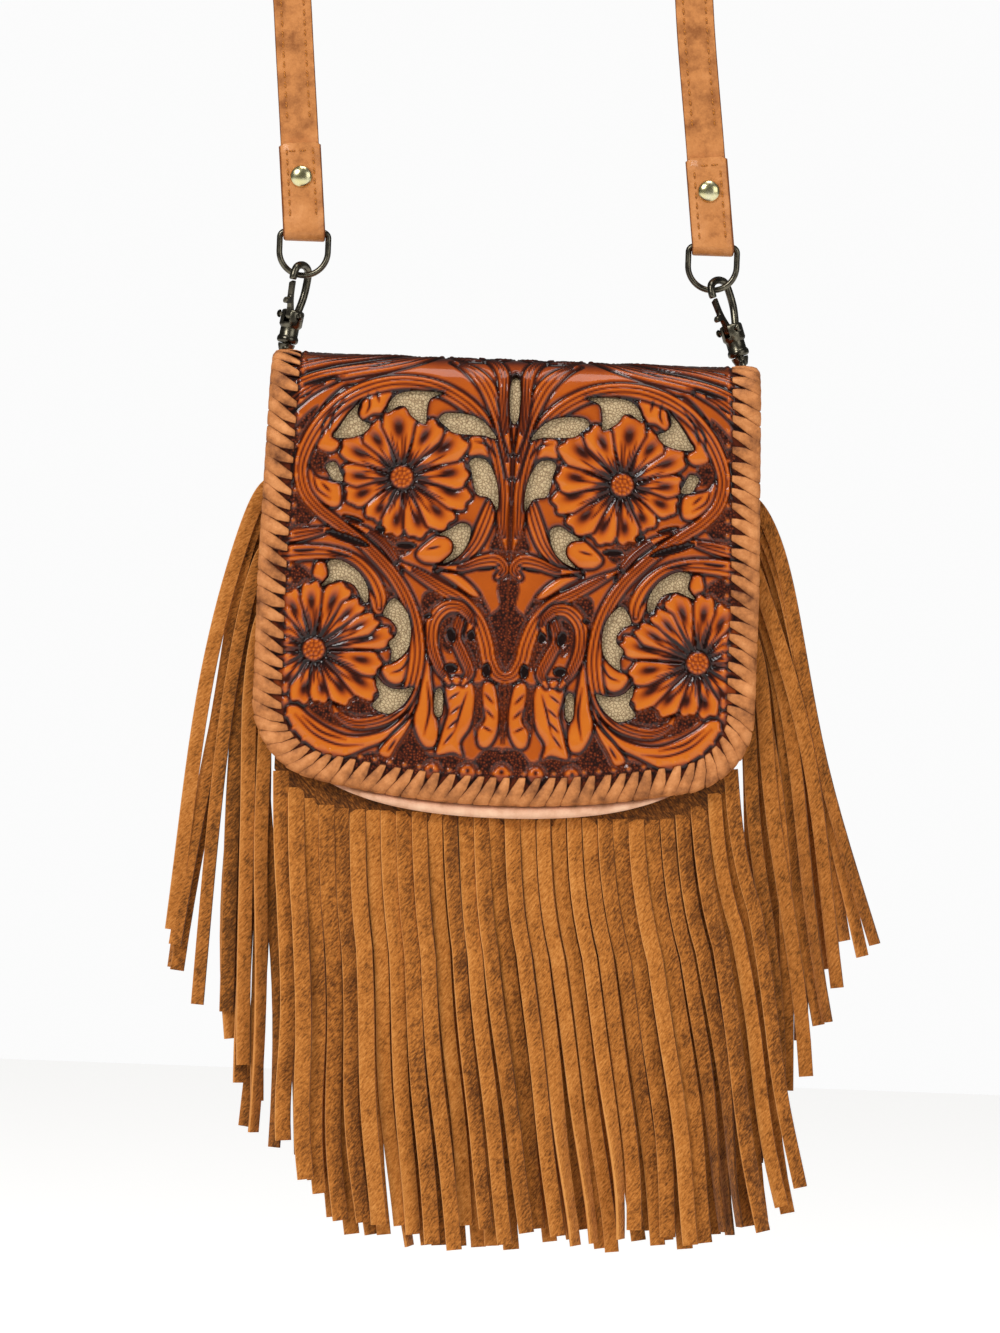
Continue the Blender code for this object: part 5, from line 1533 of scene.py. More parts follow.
@dataclass
class HangingFringe:
    """A layer of fringe across the front: one piece of suede, slit to strips that hang and sway a little."""

    name: str
    node: str
    layer: int
    count: int
    pitch: float
    bow: float
    seed: int
    rings: int = 22
    start: float = 0.0
    band_height: float = 22.0
    lean: float = 7.5
    fan: float = 4.0
    shorter: float = 20.0
    curled_share: float = 0.12
    curl: float = 1.1

    def build(self, finish: Material) -> Object:
        """Makes the layer and returns it.

        Args:
            finish: its material.

        Returns:
            The object.
        """
        chance = np.random.default_rng(self.seed)
        face = POUCH_FRONT_Y - FIT - self.layer * (STRIP_THICKNESS + FIT)
        first = FRINGE_LEFT + self.start * self.pitch
        parts = [self.band(face, first)]
        for i in range(self.count):
            parts.append(self.strip(i, first + i * self.pitch + STRIP_WIDTH / 2, face, chance))
        points, faces, along, tone = gathered(parts)
        made = piece(self.name, points, faces, finish, {"tone": tone}, along, angle=50)
        stand_for(made, self.node)
        return made

    def band(self, face: float, first: float) -> tuple:
        """The uncut part above the slits, sewn into the seam.

        Args:
            face: how far forward the pouch's face is.
            first: where the band starts across.

        Returns:
            Its points, faces, flat positions and tones.
        """
        end = first + (self.count - 1) * self.pitch + STRIP_WIDTH
        points, along = [], []
        columns = np.linspace(first, end, 60)
        for x in columns:
            low = seam_height(x) - FRINGE_SLIT
            high, back = low + self.band_height, face - STRIP_THICKNESS
            for y, z in ((face, low), (face, high), (back, high), (back, low)):
                points.append((x, y, z))
                along.append((x, z))
        return np.array(points), skin((len(columns), 4)), np.array(along), np.full(len(points), -0.12)

    def strip(self, number: int, middle: float, face: float, chance: np.random.Generator) -> tuple:
        """One strip, from inside the band down to its cut end.

        Args:
            number: its place from the left.
            middle: where it hangs across.
            face: how far forward the pouch's face is.
            chance: the layer's random numbers.

        Returns:
            Its points, faces, flat positions and tones.
        """
        share = np.linspace(0, 1, self.rings)
        centres = self.line(number, middle, face, chance)
        turn = chance.normal(0, 0.16) * share + 0.1 * np.sin(6 * share + number)
        if chance.random() < self.curled_share:
            turn = turn + chance.choice([-1.0, 1.0]) * ease((share - 0.45) / 0.5) * self.curl
        ahead = unit(np.gradient(centres, axis=0))
        flat = np.stack([np.cos(turn), np.sin(turn), 0 * turn], axis=1)
        across = unit(flat - ahead * np.sum(flat * ahead, axis=1)[:, None])
        out = np.cross(across, ahead)
        out *= np.sign(-out[:, 1:2] * np.cos(turn)[:, None] + 1e-9)
        widths = STRIP_WIDTH * chance.uniform(0.98, 1.14) * (1 - 0.06 * share * chance.random())
        points, faces, along, _ = section_run(centres, across, out, widths, STRIP_THICKNESS)
        tone = np.full(len(points), chance.uniform(-0.06, 0.05))
        tone = tone + cut_tone(self.rings) * chance.uniform(0.4, 1.0)
        return points, faces, along + (number * 13.7, number * 31.1), tone

    def line(self, number: int, middle: float, face: float, chance: np.random.Generator) -> np.ndarray:
        """The middle line of one strip, which leans out, bows forward and sways.

        Args:
            number: its place from the left.
            middle: where it hangs across.
            face: how far forward the pouch's face is.
            chance: the layer's random numbers.

        Returns:
            Its points, from inside the band to the cut end.
        """
        lean = math.radians(self.lean + self.fan * middle / -FRINGE_LEFT)
        share = np.linspace(0, 1, self.rings)
        short = self.shorter * float(ease((-58 - middle) / 36))
        length = STRIP_LENGTH + 4 + chance.uniform(-7, 3) - short
        down = length * share - 4
        swing = 0.5 + 0.5 * (1 - np.cos(math.pi / 2 * np.minimum(share * 3, 1)))
        sway = 1.5 * np.sin(5.2 * share + 0.23 * number)
        sway += 0.7 * np.sin(11 * share + 0.5 * number + self.layer)
        sway += chance.normal(0, 0.5) * np.sin(7 * share + chance.uniform(0, 6))
        sway += chance.normal(0, 1.1) * share**2
        x = middle + down * math.sin(lean) * swing + sway * share
        z = seam_height(middle) - FRINGE_SLIT - down * math.cos(lean)
        forward = self.bow * (1 + 0.5 * math.sin(1.7 * number)) + chance.uniform(0, 1.0)
        ripple = 0.8 * np.sin(8 * share + chance.uniform(0, 6)) * share
        y = face - STRIP_THICKNESS / 2 - 0.05 - forward * np.sin(math.pi / 2 * share) - ripple
        y -= (STRIP_THICKNESS + 0.1) * (number % 2) * ease(share * 9)
        return np.stack([x, y, z], axis=1)


@dataclass
class SideFringe:
    """The fringe of one side seam, which spreads out and hangs beside the pouch in loose tails."""

    side: Side
    ends: tuple
    seed: int
    count: int = 14
    top: float = 39.0
    band_width: float = 9.0
    layers: int = 4
    layer_gap: float = 2.2
    rings: int = 30
    stray: tuple = (5, 7)
    arch: float = 17.0
    arch_loss: float = 13.0
    hook: float = 7.0
    tuck: float = 5.0

    def build(self, finish: Material) -> Object:
        """Makes the fringe and returns it.

        Args:
            finish: its material.

        Returns:
            The object.
        """
        chance = np.random.default_rng(self.seed)
        parts = [self.band()]
        for k in range(self.count):
            parts.append(self.strip(k, chance))
        points, faces, along, tone = gathered(parts)
        made = piece(f"side_fringe_{self.side.word}", points, faces, finish, {"tone": tone}, along, angle=50)
        stand_for(made, f"fringe_{self.side.word}")
        return made

    def band(self) -> tuple:
        """The uncut edge that is sewn into the side seam.

        Returns:
            Its points, faces, flat positions and tones.
        """
        face, sign = POUCH_FRONT_Y - FIT, self.side.value
        inner, outer = sign * (POUCH_HALF_WIDTH + FIT - self.band_width), sign * (POUCH_HALF_WIDTH + FIT)
        points, along = [], []
        levels = np.linspace(self.top, self.top - self.count * STRIP_PITCH, 24)
        for z in levels:
            back = face - STRIP_THICKNESS
            for x, y in ((inner, face), (outer, face), (outer, back), (inner, back)):
                points.append((x, y, z))
                along.append((x, z))
        return np.array(points), skin((len(levels), 4)), np.array(along), np.full(len(points), -0.1)

    def strip(self, number: int, chance: np.random.Generator) -> tuple:
        """One strip: out of the seam, over in a soft arch and down to a curling tail.

        Args:
            number: its place from the top.
            chance: the fringe's random numbers.

        Returns:
            Its points, faces, flat positions and tones.
        """
        t = np.linspace(0, 1, self.rings) ** 1.15
        centres = self.line(number, t, chance)
        ahead = unit(np.gradient(centres, axis=0))
        turn = chance.normal(0, 0.2) * t
        turn = turn + chance.choice([-1, 1]) * chance.uniform(0.0, 0.9) * ease((t - 0.4) / 0.6)
        plain = unit(np.cross(ahead, (0.0, 1.0, 0.0)))
        other = np.cross(plain, ahead)
        across = plain * np.cos(turn)[:, None] + other * np.sin(turn)[:, None]
        out = np.cross(ahead, across)
        widths = STRIP_WIDTH * chance.uniform(0.95, 1.1) * (1 - 0.08 * t)
        points, faces, along, _ = section_run(centres, across, out, widths, STRIP_THICKNESS)
        tone = np.full(len(points), chance.uniform(-0.07, 0.05))
        tone = tone + cut_tone(self.rings) * chance.uniform(0.3, 1.0)
        return points, faces, along + (number * 17.3, number * 23.9), tone

    def line(self, number: int, t: np.ndarray, chance: np.random.Generator) -> np.ndarray:
        """The middle line of one strip: a soft arch whose tail waves and hooks.

        Args:
            number: its place from the top.
            t: the share of the way along at each point.
            chance: the fringe's random numbers.

        Returns:
            Its points, from inside the seam to the cut end.
        """
        sign, share = self.side.value, number / (self.count - 1)
        edge = POUCH_HALF_WIDTH + FIT
        (reach_a, low_a), (reach_b, low_b) = self.ends
        stray = chance.uniform(-1, 1, 2) * self.stray
        end = np.array([sign * (POUCH_HALF_WIDTH + reach_a + (reach_b - reach_a) * share) + stray[0],
                        low_a + (low_b - low_a) * share + stray[1] - 2])
        start = np.array([sign * edge, self.top - number * STRIP_PITCH - STRIP_WIDTH / 2])
        arch = edge + self.arch - self.arch_loss * share + chance.uniform(-3, 3)
        elbow = np.array([sign * arch, start[1] - 2])
        flat = ((1 - t) ** 2)[:, None] * start + (2 * t * (1 - t))[:, None] * elbow + (t**2)[:, None] * end
        wave = chance.uniform(1.5, 3.4) * np.sin(chance.uniform(6, 9) * t + chance.uniform(0, 6)) * t
        hook = chance.uniform(-1, 1) * self.hook * np.clip((t - 0.7) / 0.3, 0, 1) ** 2
        layer = (0.5 + number % self.layers) * self.layer_gap
        depth = layer * np.minimum(1, t / 0.2) + 1.2 * np.sin(7 * t + chance.uniform(0, 6)) * t
        y = POUCH_FRONT_Y - FIT - STRIP_THICKNESS / 2 + depth
        centres = np.stack([flat[:, 0] + wave + hook, y, flat[:, 1] + 0.3 * wave], axis=1)
        centres[0] -= (sign * self.tuck, 0, 0)
        return centres


def arc(centre: tuple, radius: float, start: float, end: float, steps: int) -> list:
    """Points of a round stretch, ends included."""
    turns = np.linspace(start, end, steps + 1)
    return [(centre[0] + radius * math.cos(a), centre[1] + radius * math.sin(a)) for a in turns]


def wire(path: Points, radii: list, sides: int, across: tuple, closed: bool = False) -> tuple:
    """A round bar along a flat path.

    Args:
        path: its middle line.
        radii: its radius at each point.
        sides: how many sides it has.
        across: the direction square to the path's plane.
        closed: whether its ends meet.

    Returns:
        Its points and faces.
    """
    path = np.asarray(path, float)
    across = np.asarray(across, float) / np.linalg.norm(across)
    turns = 2 * math.pi * np.arange(sides) / sides
    rings = []
    for i, middle in enumerate(path):
        after = path[(i + 1) % len(path)] if closed or i + 1 < len(path) else middle
        before = path[i - 1] if closed or i else middle
        side = np.cross(after - before, across)
        side /= np.linalg.norm(side)
        rings.append(middle + radii[i] * (np.cos(turns)[:, None] * side + np.sin(turns)[:, None] * across))
    return np.vstack(rings), skin((len(path), sides), closed)


def turned(profile: list, sides: int) -> tuple:
    """A round piece about Z.

    Args:
        profile: its (radius, height) points; one of no radius is a pole.
        sides: how many sides it has.

    Returns:
        Its points and faces.
    """
    points, faces, rings = [], [], []
    for radius, height in profile:
        count = 1 if radius == 0 else sides
        rings.append(list(range(len(points), len(points) + count)))
        for j in range(count):
            a = 2 * math.pi * j / sides
            points.append((radius * math.cos(a), radius * math.sin(a), height))
    for low, high in zip(rings, rings[1:]):
        for j in range(sides):
            k = (j + 1) % sides
            corners = [low[j % len(low)], low[k % len(low)], high[k % len(high)], high[j % len(high)]]
            faces.append(tuple(dict.fromkeys(corners)))
    return np.array(points), faces


def placed(shape: tuple, matrix: Matrix) -> tuple:
    """A shape's points under a matrix, with its faces."""
    turn = np.array(matrix.to_3x3())
    return np.asarray(shape[0], float) @ turn.T + np.array(matrix.translation), shape[1]


def combine(thing: Object, other: Object, operation: str) -> None:
    """Joins another solid to this one, or cuts it away, and removes the other.

    Args:
        thing: the solid that stays.
        other: the solid that goes.
        operation: UNION or DIFFERENCE.
    """
    step = thing.modifiers.new("combine", "BOOLEAN")
    step.object = other
    step.operation = operation
    step.solver = "EXACT"
    bpy.ops.object.select_all(action="DESELECT")
    bpy.context.view_layer.objects.active = thing
    thing.select_set(True)
    bpy.ops.object.modifier_apply(modifier=step.name)
    bpy.data.objects.remove(other, do_unlink=True)


@dataclass
class Strap:
    """The strap: one leather band on edge, whose ends fold round the rings, with two sewn rows."""

    end_width: float = 17.6
    seat: float = 8.0
    ring_wire: float = 2.5
    route: tuple = ((-98.6, 233), (-103, 290), (-94, 345), (-58, 387), (-8, 400), (8, 400), (43, 386),
                    (63, 345), (66, 290), (69.4, 239))
    stitch: float = 3.1
    stitch_gap: float = 1.15
    row_inset: float = 3.3
    folded: int = 10
    lower_row: int = 34
    upper_row: int = 29
    upper_shade: float = 0.16

    def build(self, leather: Material, thread: Material) -> None:
        """Makes the band and its stitches.

        Args:
            leather: the band's material.
            thread: the stitches' material.
        """
        centres, across, out, widths = self.frames()
        points, faces, along, edges = section_run(centres, across, out, widths, STRAP_THICKNESS)
        upper = (points[:, 2] > RING_BAR + STRAP_TAIL + 2) * self.upper_shade
        band = piece("strap_band", points, faces, leather, {"shade": edges + upper}, along, angle=50)
        stand_for(band, "strap")
        rows = []
        front = 1.0 if out[3, 1] < 0 else -1.0
        last = len(centres)
        tips = (0, self.folded, front), (last - self.folded, last, front)
        runs = (self.lower_row, last - self.lower_row, -1.0), (self.upper_row, last - self.upper_row, 1.0)
        for first, end, face in (*tips, *runs):
            part = slice(first, end)
            lift = out[part] * face
            middle = centres[part] + lift * (STRAP_THICKNESS / 2 + THREAD_LIFT)
            inset = (widths[part] / 2 - self.row_inset)[:, None]
            rows += self.sewn(middle - across[part] * inset, across[part], lift)
            rows += self.sewn(middle + across[part] * inset, across[part], lift)
        for tip, inner in ((0, 1), (last - 1, last - 2)):
            ahead = (centres[inner] - centres[tip]) / np.linalg.norm(centres[inner] - centres[tip])
            lift = out[tip] * front
            middle = centres[tip] + ahead * self.row_inset + lift * (STRAP_THICKNESS / 2 + THREAD_LIFT)
            half = across[tip] * (self.end_width / 2 - self.row_inset + 2.2)
            line = np.array([middle - half, middle, middle + half])
            rows += self.sewn(line, np.array([ahead] * 3), np.array([lift] * 3))
        made = piece("strap_thread", *gathered(rows), thread, angle=60)
        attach(made, "bag")

    def sewn(self, line: np.ndarray, across: np.ndarray, out: np.ndarray) -> list:
        """Stitches along a line, each a short rounded run of thread that dips in at its ends.

        Args:
            line: the line.
            across: the direction beside it at each point.
            out: the direction off the leather.

        Returns:
            The points and faces of each stitch.
        """
        lengths = np.concatenate([[0], np.cumsum(np.linalg.norm(np.diff(line, axis=0), axis=1))])
        pitch = self.stitch + self.stitch_gap
        found = []

        def at(numbers: np.ndarray, place: float) -> np.ndarray:
            """The numbers' value at a place along the line."""
            return np.array([np.interp(place, lengths, numbers[:, k]) for k in range(3)])

        for i in range(int((lengths[-1] - 6) / pitch)):
            start = 3 + i * pitch
            ring = []
            for share, lift, size in STRAP_STITCH:
                place = start + share * self.stitch
                middle, side, up = at(line, place), at(across, place), at(out, place)
                for turn in STITCH_TURNS:
                    ring.append(middle + up * (lift + size * math.sin(turn)) + side * size * math.cos(turn))
            found.append((np.array(ring), skin((5, 6))))
        return found

    def leg(self, side: Side, steps: int = 9) -> list:
        """Middle line of one end.

        Args:
            side: which end.
            steps: how many points each half of its loop has.

        Returns:
            Its points, from the tip of its folded tail to the top of its leg.
        """
        foot_x = 6.4 - POUCH_HALF_WIDTH if side is Side.LEFT else POUCH_HALF_WIDTH - 16.6
        radius = self.ring_wire / 2 + FIT + STRAP_THICKNESS / 2
        lean_x, lean_z = self.route[0] if side is Side.LEFT else self.route[-1]

        def at(y: float, z: float) -> tuple:
            """A point of the leaning leg at this depth and height."""
            share = (z - RING_BAR) / (lean_z - RING_BAR)
            return foot_x + (lean_x - foot_x) * max(share, 0), y, z

        gap = (STRAP_THICKNESS + FIT) / 2
        tail = [at(-gap, RING_BAR + STRAP_TAIL * s) for s in (1.0, 0.97, 0.85, 0.7, 0.55, 0.42)]
        tail += [at(-gap - 0.1, RING_BAR + 12), at(-gap - 0.3, RING_BAR + 9), at(-gap - 0.75, RING_BAR + 5)]
        loop = [at(-radius * math.cos(a), RING_BAR - radius * math.sin(a)) for a in
                np.linspace(0, math.pi, 2 * steps)]
        legs = [at(gap + 0.75, RING_BAR + 5), at(gap + 0.3, RING_BAR + 9), at(gap + 0.1, RING_BAR + 12)]
        legs += [at(gap, RING_BAR + STRAP_TAIL * s) for s in (0.42, 0.6, 0.8, 0.98, 1.2)]
        return tail + loop + legs

    def frames(self) -> tuple:
        """The band's middle line and how it stands there.

        Returns:
            The points, and the width's direction, the face's direction and the width at each.
        """
        left, right = self.leg(Side.LEFT), self.leg(Side.RIGHT)[::-1]
        gap = (STRAP_THICKNESS + FIT) / 2
        route = [(x, gap, z) for x, z in self.route]
        upper = smooth_line([left[-1], *route, right[0]], 9)[1:-1]
        share = np.clip((upper[:, 2] - self.route[0][1]) / (self.route[3][1] - self.route[0][1]), 0, 1)
        rise = ease(share)
        upper[:, 2] = np.where(np.abs(upper[:, 0]) <= self.seat + FIT, HANG, upper[:, 2])
        upper[:, 1] = gap * (1 - rise)
        upper[:, 2] += rise * STRAP_THICKNESS / 2
        centres = np.vstack([left, upper, right])
        rise = np.concatenate([np.zeros(len(left)), rise, np.zeros(len(right))])
        ahead = np.gradient(centres, axis=0)
        ahead = unit(ahead)
        flat = np.cross((0.0, 1.0, 0.0), ahead)
        ends = np.abs(flat[:, 0]) + np.abs(flat[:, 2]) < 0.35
        order = np.arange(len(centres))
        level = np.where(order < len(centres) / 2, 1.0, -1.0)[:, None] * np.array([1.0, 0.0, 0.0])
        flat = np.where((rise[:, None] == 0) | ends[:, None], level, flat)
        flat = unit(flat)
        turn = (rise * math.pi / 2)[:, None]
        across = np.cos(turn) * flat + np.sin(turn) * np.array([0.0, 1.0, 0.0])
        across -= ahead * np.sum(across * ahead, axis=1)[:, None]
        across = unit(across)
        out = np.cross(ahead, across)
        folded = np.minimum(order, len(order) - 1 - order)
        widths = np.where(folded < 24, self.end_width, STRAP_WIDTH)
        widths = np.where(folded == 0, self.end_width - 3.5, widths)
        return centres, across, out, widths


@dataclass
class StrapEnd:
    """The D-ring and the rivet at one end of the strap."""

    side: Side
    wire_size: float = 2.5
    ring_width: float = 22.8
    ring_height: float = 20.75
    cap: float = 9.4

    def build(self, steel: Material, brass: Material) -> None:
        """Makes the ring and the rivet.

        Args:
            steel: the ring's material.
            brass: the rivet's material.
        """
        foot_x = 6.4 - POUCH_HALF_WIDTH if self.side is Side.LEFT else POUCH_HALF_WIDTH - 16.6
        half = (self.ring_width - self.wire_size) / 2
        drop, corner = self.ring_height - self.wire_size - half, 2.5
        path = arc((half - corner, -corner), corner, math.pi / 2, 0, 8)
        path += arc((0, -drop), half, 0, -math.pi, 40)
        path += arc((corner - half, -corner), corner, math.pi, math.pi / 2, 8)
        line = [(foot_x + x, 0.0, RING_BAR + z) for x, z in path]
        radii = [self.wire_size / 2] * len(line)
        ring = piece(f"d_ring_{self.side.word}", *wire(line, radii, 20, (0, 1, 0), True),
                     steel)
        stand_for(ring, f"strap_ring_{self.side.word}")
        rivet_z = RING_BAR + STRAP_TAIL * 0.62
        route = Strap.route
        lean_x, lean_z = route[0] if self.side is Side.LEFT else route[-1]
        x = foot_x + (lean_x - foot_x) * (rivet_z - RING_BAR) / (lean_z - RING_BAR)
        face, cap = STRAP_THICKNESS + FIT / 2, self.cap / 2
        profile = [(0, -face - 0.9), (cap * 0.7, -face - 0.85), (cap * 0.8, -face - 0.5),
                   (cap * 0.8, -face + 0.1),
                   (2, -face + 0.2), (2, face - 0.2), (cap * 0.98, face - 0.1), (cap, face + 0.35),
                   (cap * 0.93, face + 0.95), (cap * 0.78, face + 1.5), (cap * 0.5, face + 2.0),
                   (cap * 0.25, face + 2.2), (0, face + 2.27)]
        place = Matrix.Translation((x, 0, rivet_z)) @ Matrix.Rotation(math.pi / 2, 4, "X")
        rivet = piece(f"domed_rivet_{self.side.word}", *placed(turned(profile, 32), place), brass, angle=50)
        stand_for(rivet, f"strap_rivet_{self.side.word}")


@dataclass
class TriggerSnap:
    """One trigger snap: swivel eye, barrel with its bow, sprung gate and pin."""

    side: Side
    eye_wire: float = 2.5
    bow_wire: float = 3.2
    reach: float = 33.3
    tab_width: float = 13.0
    pin_x: float = 2.2
    pin_height: float = 11.6
    barrel: float = 4.8

    def build(self, steel: Material) -> None:
        """Makes the snap's four pieces.

        Args:
            steel: their material.
        """
        word, sign = self.side.word, self.side.value
        bar_x = POUCH_HALF_WIDTH + FIT + 1.6 + FIT / 2
        top_x = 6.4 - POUCH_HALF_WIDTH if self.side is Side.LEFT else POUCH_HALF_WIDTH - 14.5
        top = Vector((top_x, 0, 125.0 + 2.5 + 0.2 + self.bow_wire / 2))
        foot = Vector((sign * bar_x, 0, 80.0))
        along = (top - foot).normalized()
        base = top - along * self.reach
        lift = Matrix.Translation(base) @ Vector((0, 0, 1)).rotation_difference(along).to_matrix().to_4x4()
        turn = math.radians(245 if self.side is Side.LEFT else 235)
        place = lift @ Matrix.Rotation(turn, 4, "Z")
        self.eye(steel, lift, (base - foot).length, word)
        pin_spot = Matrix.Translation((self.pin_x, 0, self.pin_height))
        across = place @ pin_spot @ Matrix.Rotation(math.pi / 2, 4, "X")
        self.body(steel, place, across, word)
        reach = self.barrel + FIT
        pin = [(0, -reach - 0.8), (1.0, -reach - 0.75), (1.5, -reach - 0.4), (1.7, -reach + 0.1),
               (0.9, -reach + 0.1),
               (0.9, reach - 0.1), (1.7, reach - 0.1), (1.5, reach + 0.4), (1.0, reach + 0.75),
               (0, reach + 0.8)]
        made = piece(f"snap_pin_{word}", *placed(turned(pin, 20), across), steel, angle=50)
        stand_for(made, f"hook_pin_{word}")
        self.gate(steel, place, word)

    def eye(self, steel: Material, lift: Matrix, low: float, word: str) -> None:
        """The swivel eye: a squared loop of wire with the post that the barrel turns on.

        Args:
            steel: its material.
            lift: the matrix that stands it in its tab.
            low: how far down the loop reaches.
            word: the side's name.
        """
        top_z, low_z, corner = -self.eye_wire / 2 - 2.2, -low, 3.0
        half = self.tab_width / 2 + FIT + corner
        loop = arc((half - corner, top_z - corner), corner, math.pi / 2, 0, 8)
        loop += arc((half - corner, low_z + corner), corner, 0, -math.pi / 2, 8)
        loop += [(-y, z) for y, z in reversed(loop)]
        path = [(0, y, z) for y, z in loop]
        shape = wire(path, [self.eye_wire / 2] * len(path), 18, (1, 0, 0), True)
        made = piece(f"swivel_loop_{word}", *placed(shape, lift), steel, angle=50)
        post = [(0, top_z - 0.6), (2.3, top_z - 0.6), (2.7, top_z), (3.5, -1.3), (3.6, -0.5), (3.4, -FIT),
                (1.9, -FIT),
                (1.9, 5.8), (1.6, 6.0), (0, 6.0)]
        stem = piece(f"swivel_post_{word}", *placed(turned(post, 28), lift), steel, angle=50)
        combine(made, stem, "UNION")
        stand_for(made, f"swivel_eye_{word}")

    def body(self, steel: Material, place: Matrix, across: Matrix, word: str) -> None:
        """The barrel and its bow, cast as one, with the slot and the hole for the gate and its pin.

        Args:
            steel: its material.
            place: the snap's matrix.
            across: the pin's matrix.
            word: the side's name.
        """
        size = self.barrel
        barrel = [(0, 6.3), (2.2, 6.3), (2.2, 0), (3.7, 0), (4.3, 0.5), (4.5, 1.1), (4.5, 2.1), (4.2, 2.7),
                  (3.9, 3.2),
                  (3.9, 6.4), (4.3, 6.8), (size, 7.6), (size, 12.9), (4.5, 13.6), (3.8, 14), (0, 14)]
        made = piece(f"snap_body_{word}", *placed(turned(barrel, 36), place), steel, angle=45)
        bow = smooth_line([(-2.9, 11.0), (-5.0, 16.0), (-6.5, 21.5), (-6.5, 28.5), (-5.0, 32.0),
                           (0, self.reach),
                           (5.0, 32.0), (6.5, 28.8), (6.5, 26.3)], 6)
        radii = [self.bow_wire / 2] * len(bow)
        radii[-1] = self.bow_wire * 0.38
        radii[-2] = self.bow_wire * 0.47
        shape = wire([(x, 0, z) for x, z in bow], radii, 18, (0, 1, 0))
        combine(made, piece(f"bow_{word}", *placed(shape, place), steel), "UNION")
        slot = [(-1.5, self.pin_height - 3.0), (2 * size, self.pin_height - 3.0), (2 * size, 15), (-1.5, 15)]
        cut = self.plate(slot, 1.3)
        combine(made, piece(f"slot_{word}", *placed(cut, place), steel), "DIFFERENCE")
        hole = [(0, -2 * size), (1.2, -2 * size), (1.2, 2 * size), (0, 2 * size)]
        combine(made, piece(f"hole_{word}", *placed(turned(hole, 20), across), steel), "DIFFERENCE")
        made.data.shade_smooth()
        made.data.set_sharp_from_angle(angle=math.radians(40))
        stand_for(made, f"hook_body_{word}")

    def plate(self, outline: list, half: float) -> tuple:
        """A flat plate along Y from (x, z) points."""
        points = [(x, y, z) for y in (-half, half) for x, z in outline]
        return np.array(points), skin((2, len(outline)))

    def gate(self, steel: Material, place: Matrix, word: str) -> None:
        """The sprung gate: a boss at its pin, a ridged thumb lever, and a tip under the bow's nose.

        Args:
            steel: its material.
            place: the snap's matrix.
            word: the side's name.
        """
        boss = arc((self.pin_x, self.pin_height), 2.3, math.pi, 2 * math.pi, 14)
        lever = smooth_line([(4.6, 14.6), (5.4, 16.3), (7.2, 16.2), (8.8, 16.0), (9.7, 17.0), (8.9, 18.3),
                             (7.6, 18.7), (6.5, 19.2), (6.8, 21.5), (7.4, 25.0)], 3)
        inner = smooth_line([(5.2, 26.0), (4.7, 22.5), (3.8, 19.0), (1.8, 14.6)], 4)
        outline = [*boss, *[tuple(p) for p in lever], *[tuple(p) for p in inner]]
        middle = np.mean(outline, axis=0)
        rings = []
        for y, shrink in ((-1.0, 0.25), (-0.75, 0.0), (0.75, 0.0), (1.0, 0.25)):
            for x, z in outline:
                away = np.array([x, z]) - middle
                x, z = np.array([x, z]) - shrink * away / np.linalg.norm(away)
                rings.append((x, y, z))
        shape = np.array(rings), skin((4, len(outline)))
        made = piece(f"snap_gate_{word}", *placed(shape, place), steel, angle=40)
        stand_for(made, f"hook_gate_{word}")


@dataclass
class Tab:
    """The folded leather tab on the gusset that holds the swivel eye."""

    side: Side
    leather: float = 1.6
    width: float = 13.0
    foot: float = 50.0
    bar: float = 80.0

    def build(self, finish: Material) -> None:
        """Makes the tab.

        Args:
            finish: the leather's material.
        """
        sign = self.side.value
        bar_x = POUCH_HALF_WIDTH + FIT + self.leather + FIT / 2
        radius, half = 1.25 + FIT + self.leather / 2, (self.leather + FIT) / 2
        neck = self.bar - 3 * radius
        line = [(-half, self.foot), (-half, self.foot + 0.6), (-half, (self.foot + neck) / 2), (-half, neck)]
        line += arc((0, self.bar), radius, 7 * math.pi / 6, -math.pi / 6, 24)
        line += [(half, neck), (half, (self.foot + neck) / 2), (half, self.foot + 0.6), (half, self.foot)]
        centres = np.array([(sign * (bar_x + x), 0.0, z) for x, z in line])
        ahead = np.gradient(centres, axis=0)
        ahead = unit(ahead)
        across = np.tile((0.0, 1.0, 0.0), (len(line), 1))
        out = np.cross(ahead, across)
        widths = np.full(len(line), self.width)
        widths[[0, -1]] = self.width - 1.4
        points, faces, along, edges = section_run(centres, across, out, widths, self.leather)
        made = piece(f"eye_tab_{self.side.word}", points, faces, finish, {"shade": edges}, along, angle=50)
        stand_for(made, f"tab_{self.side.word}")


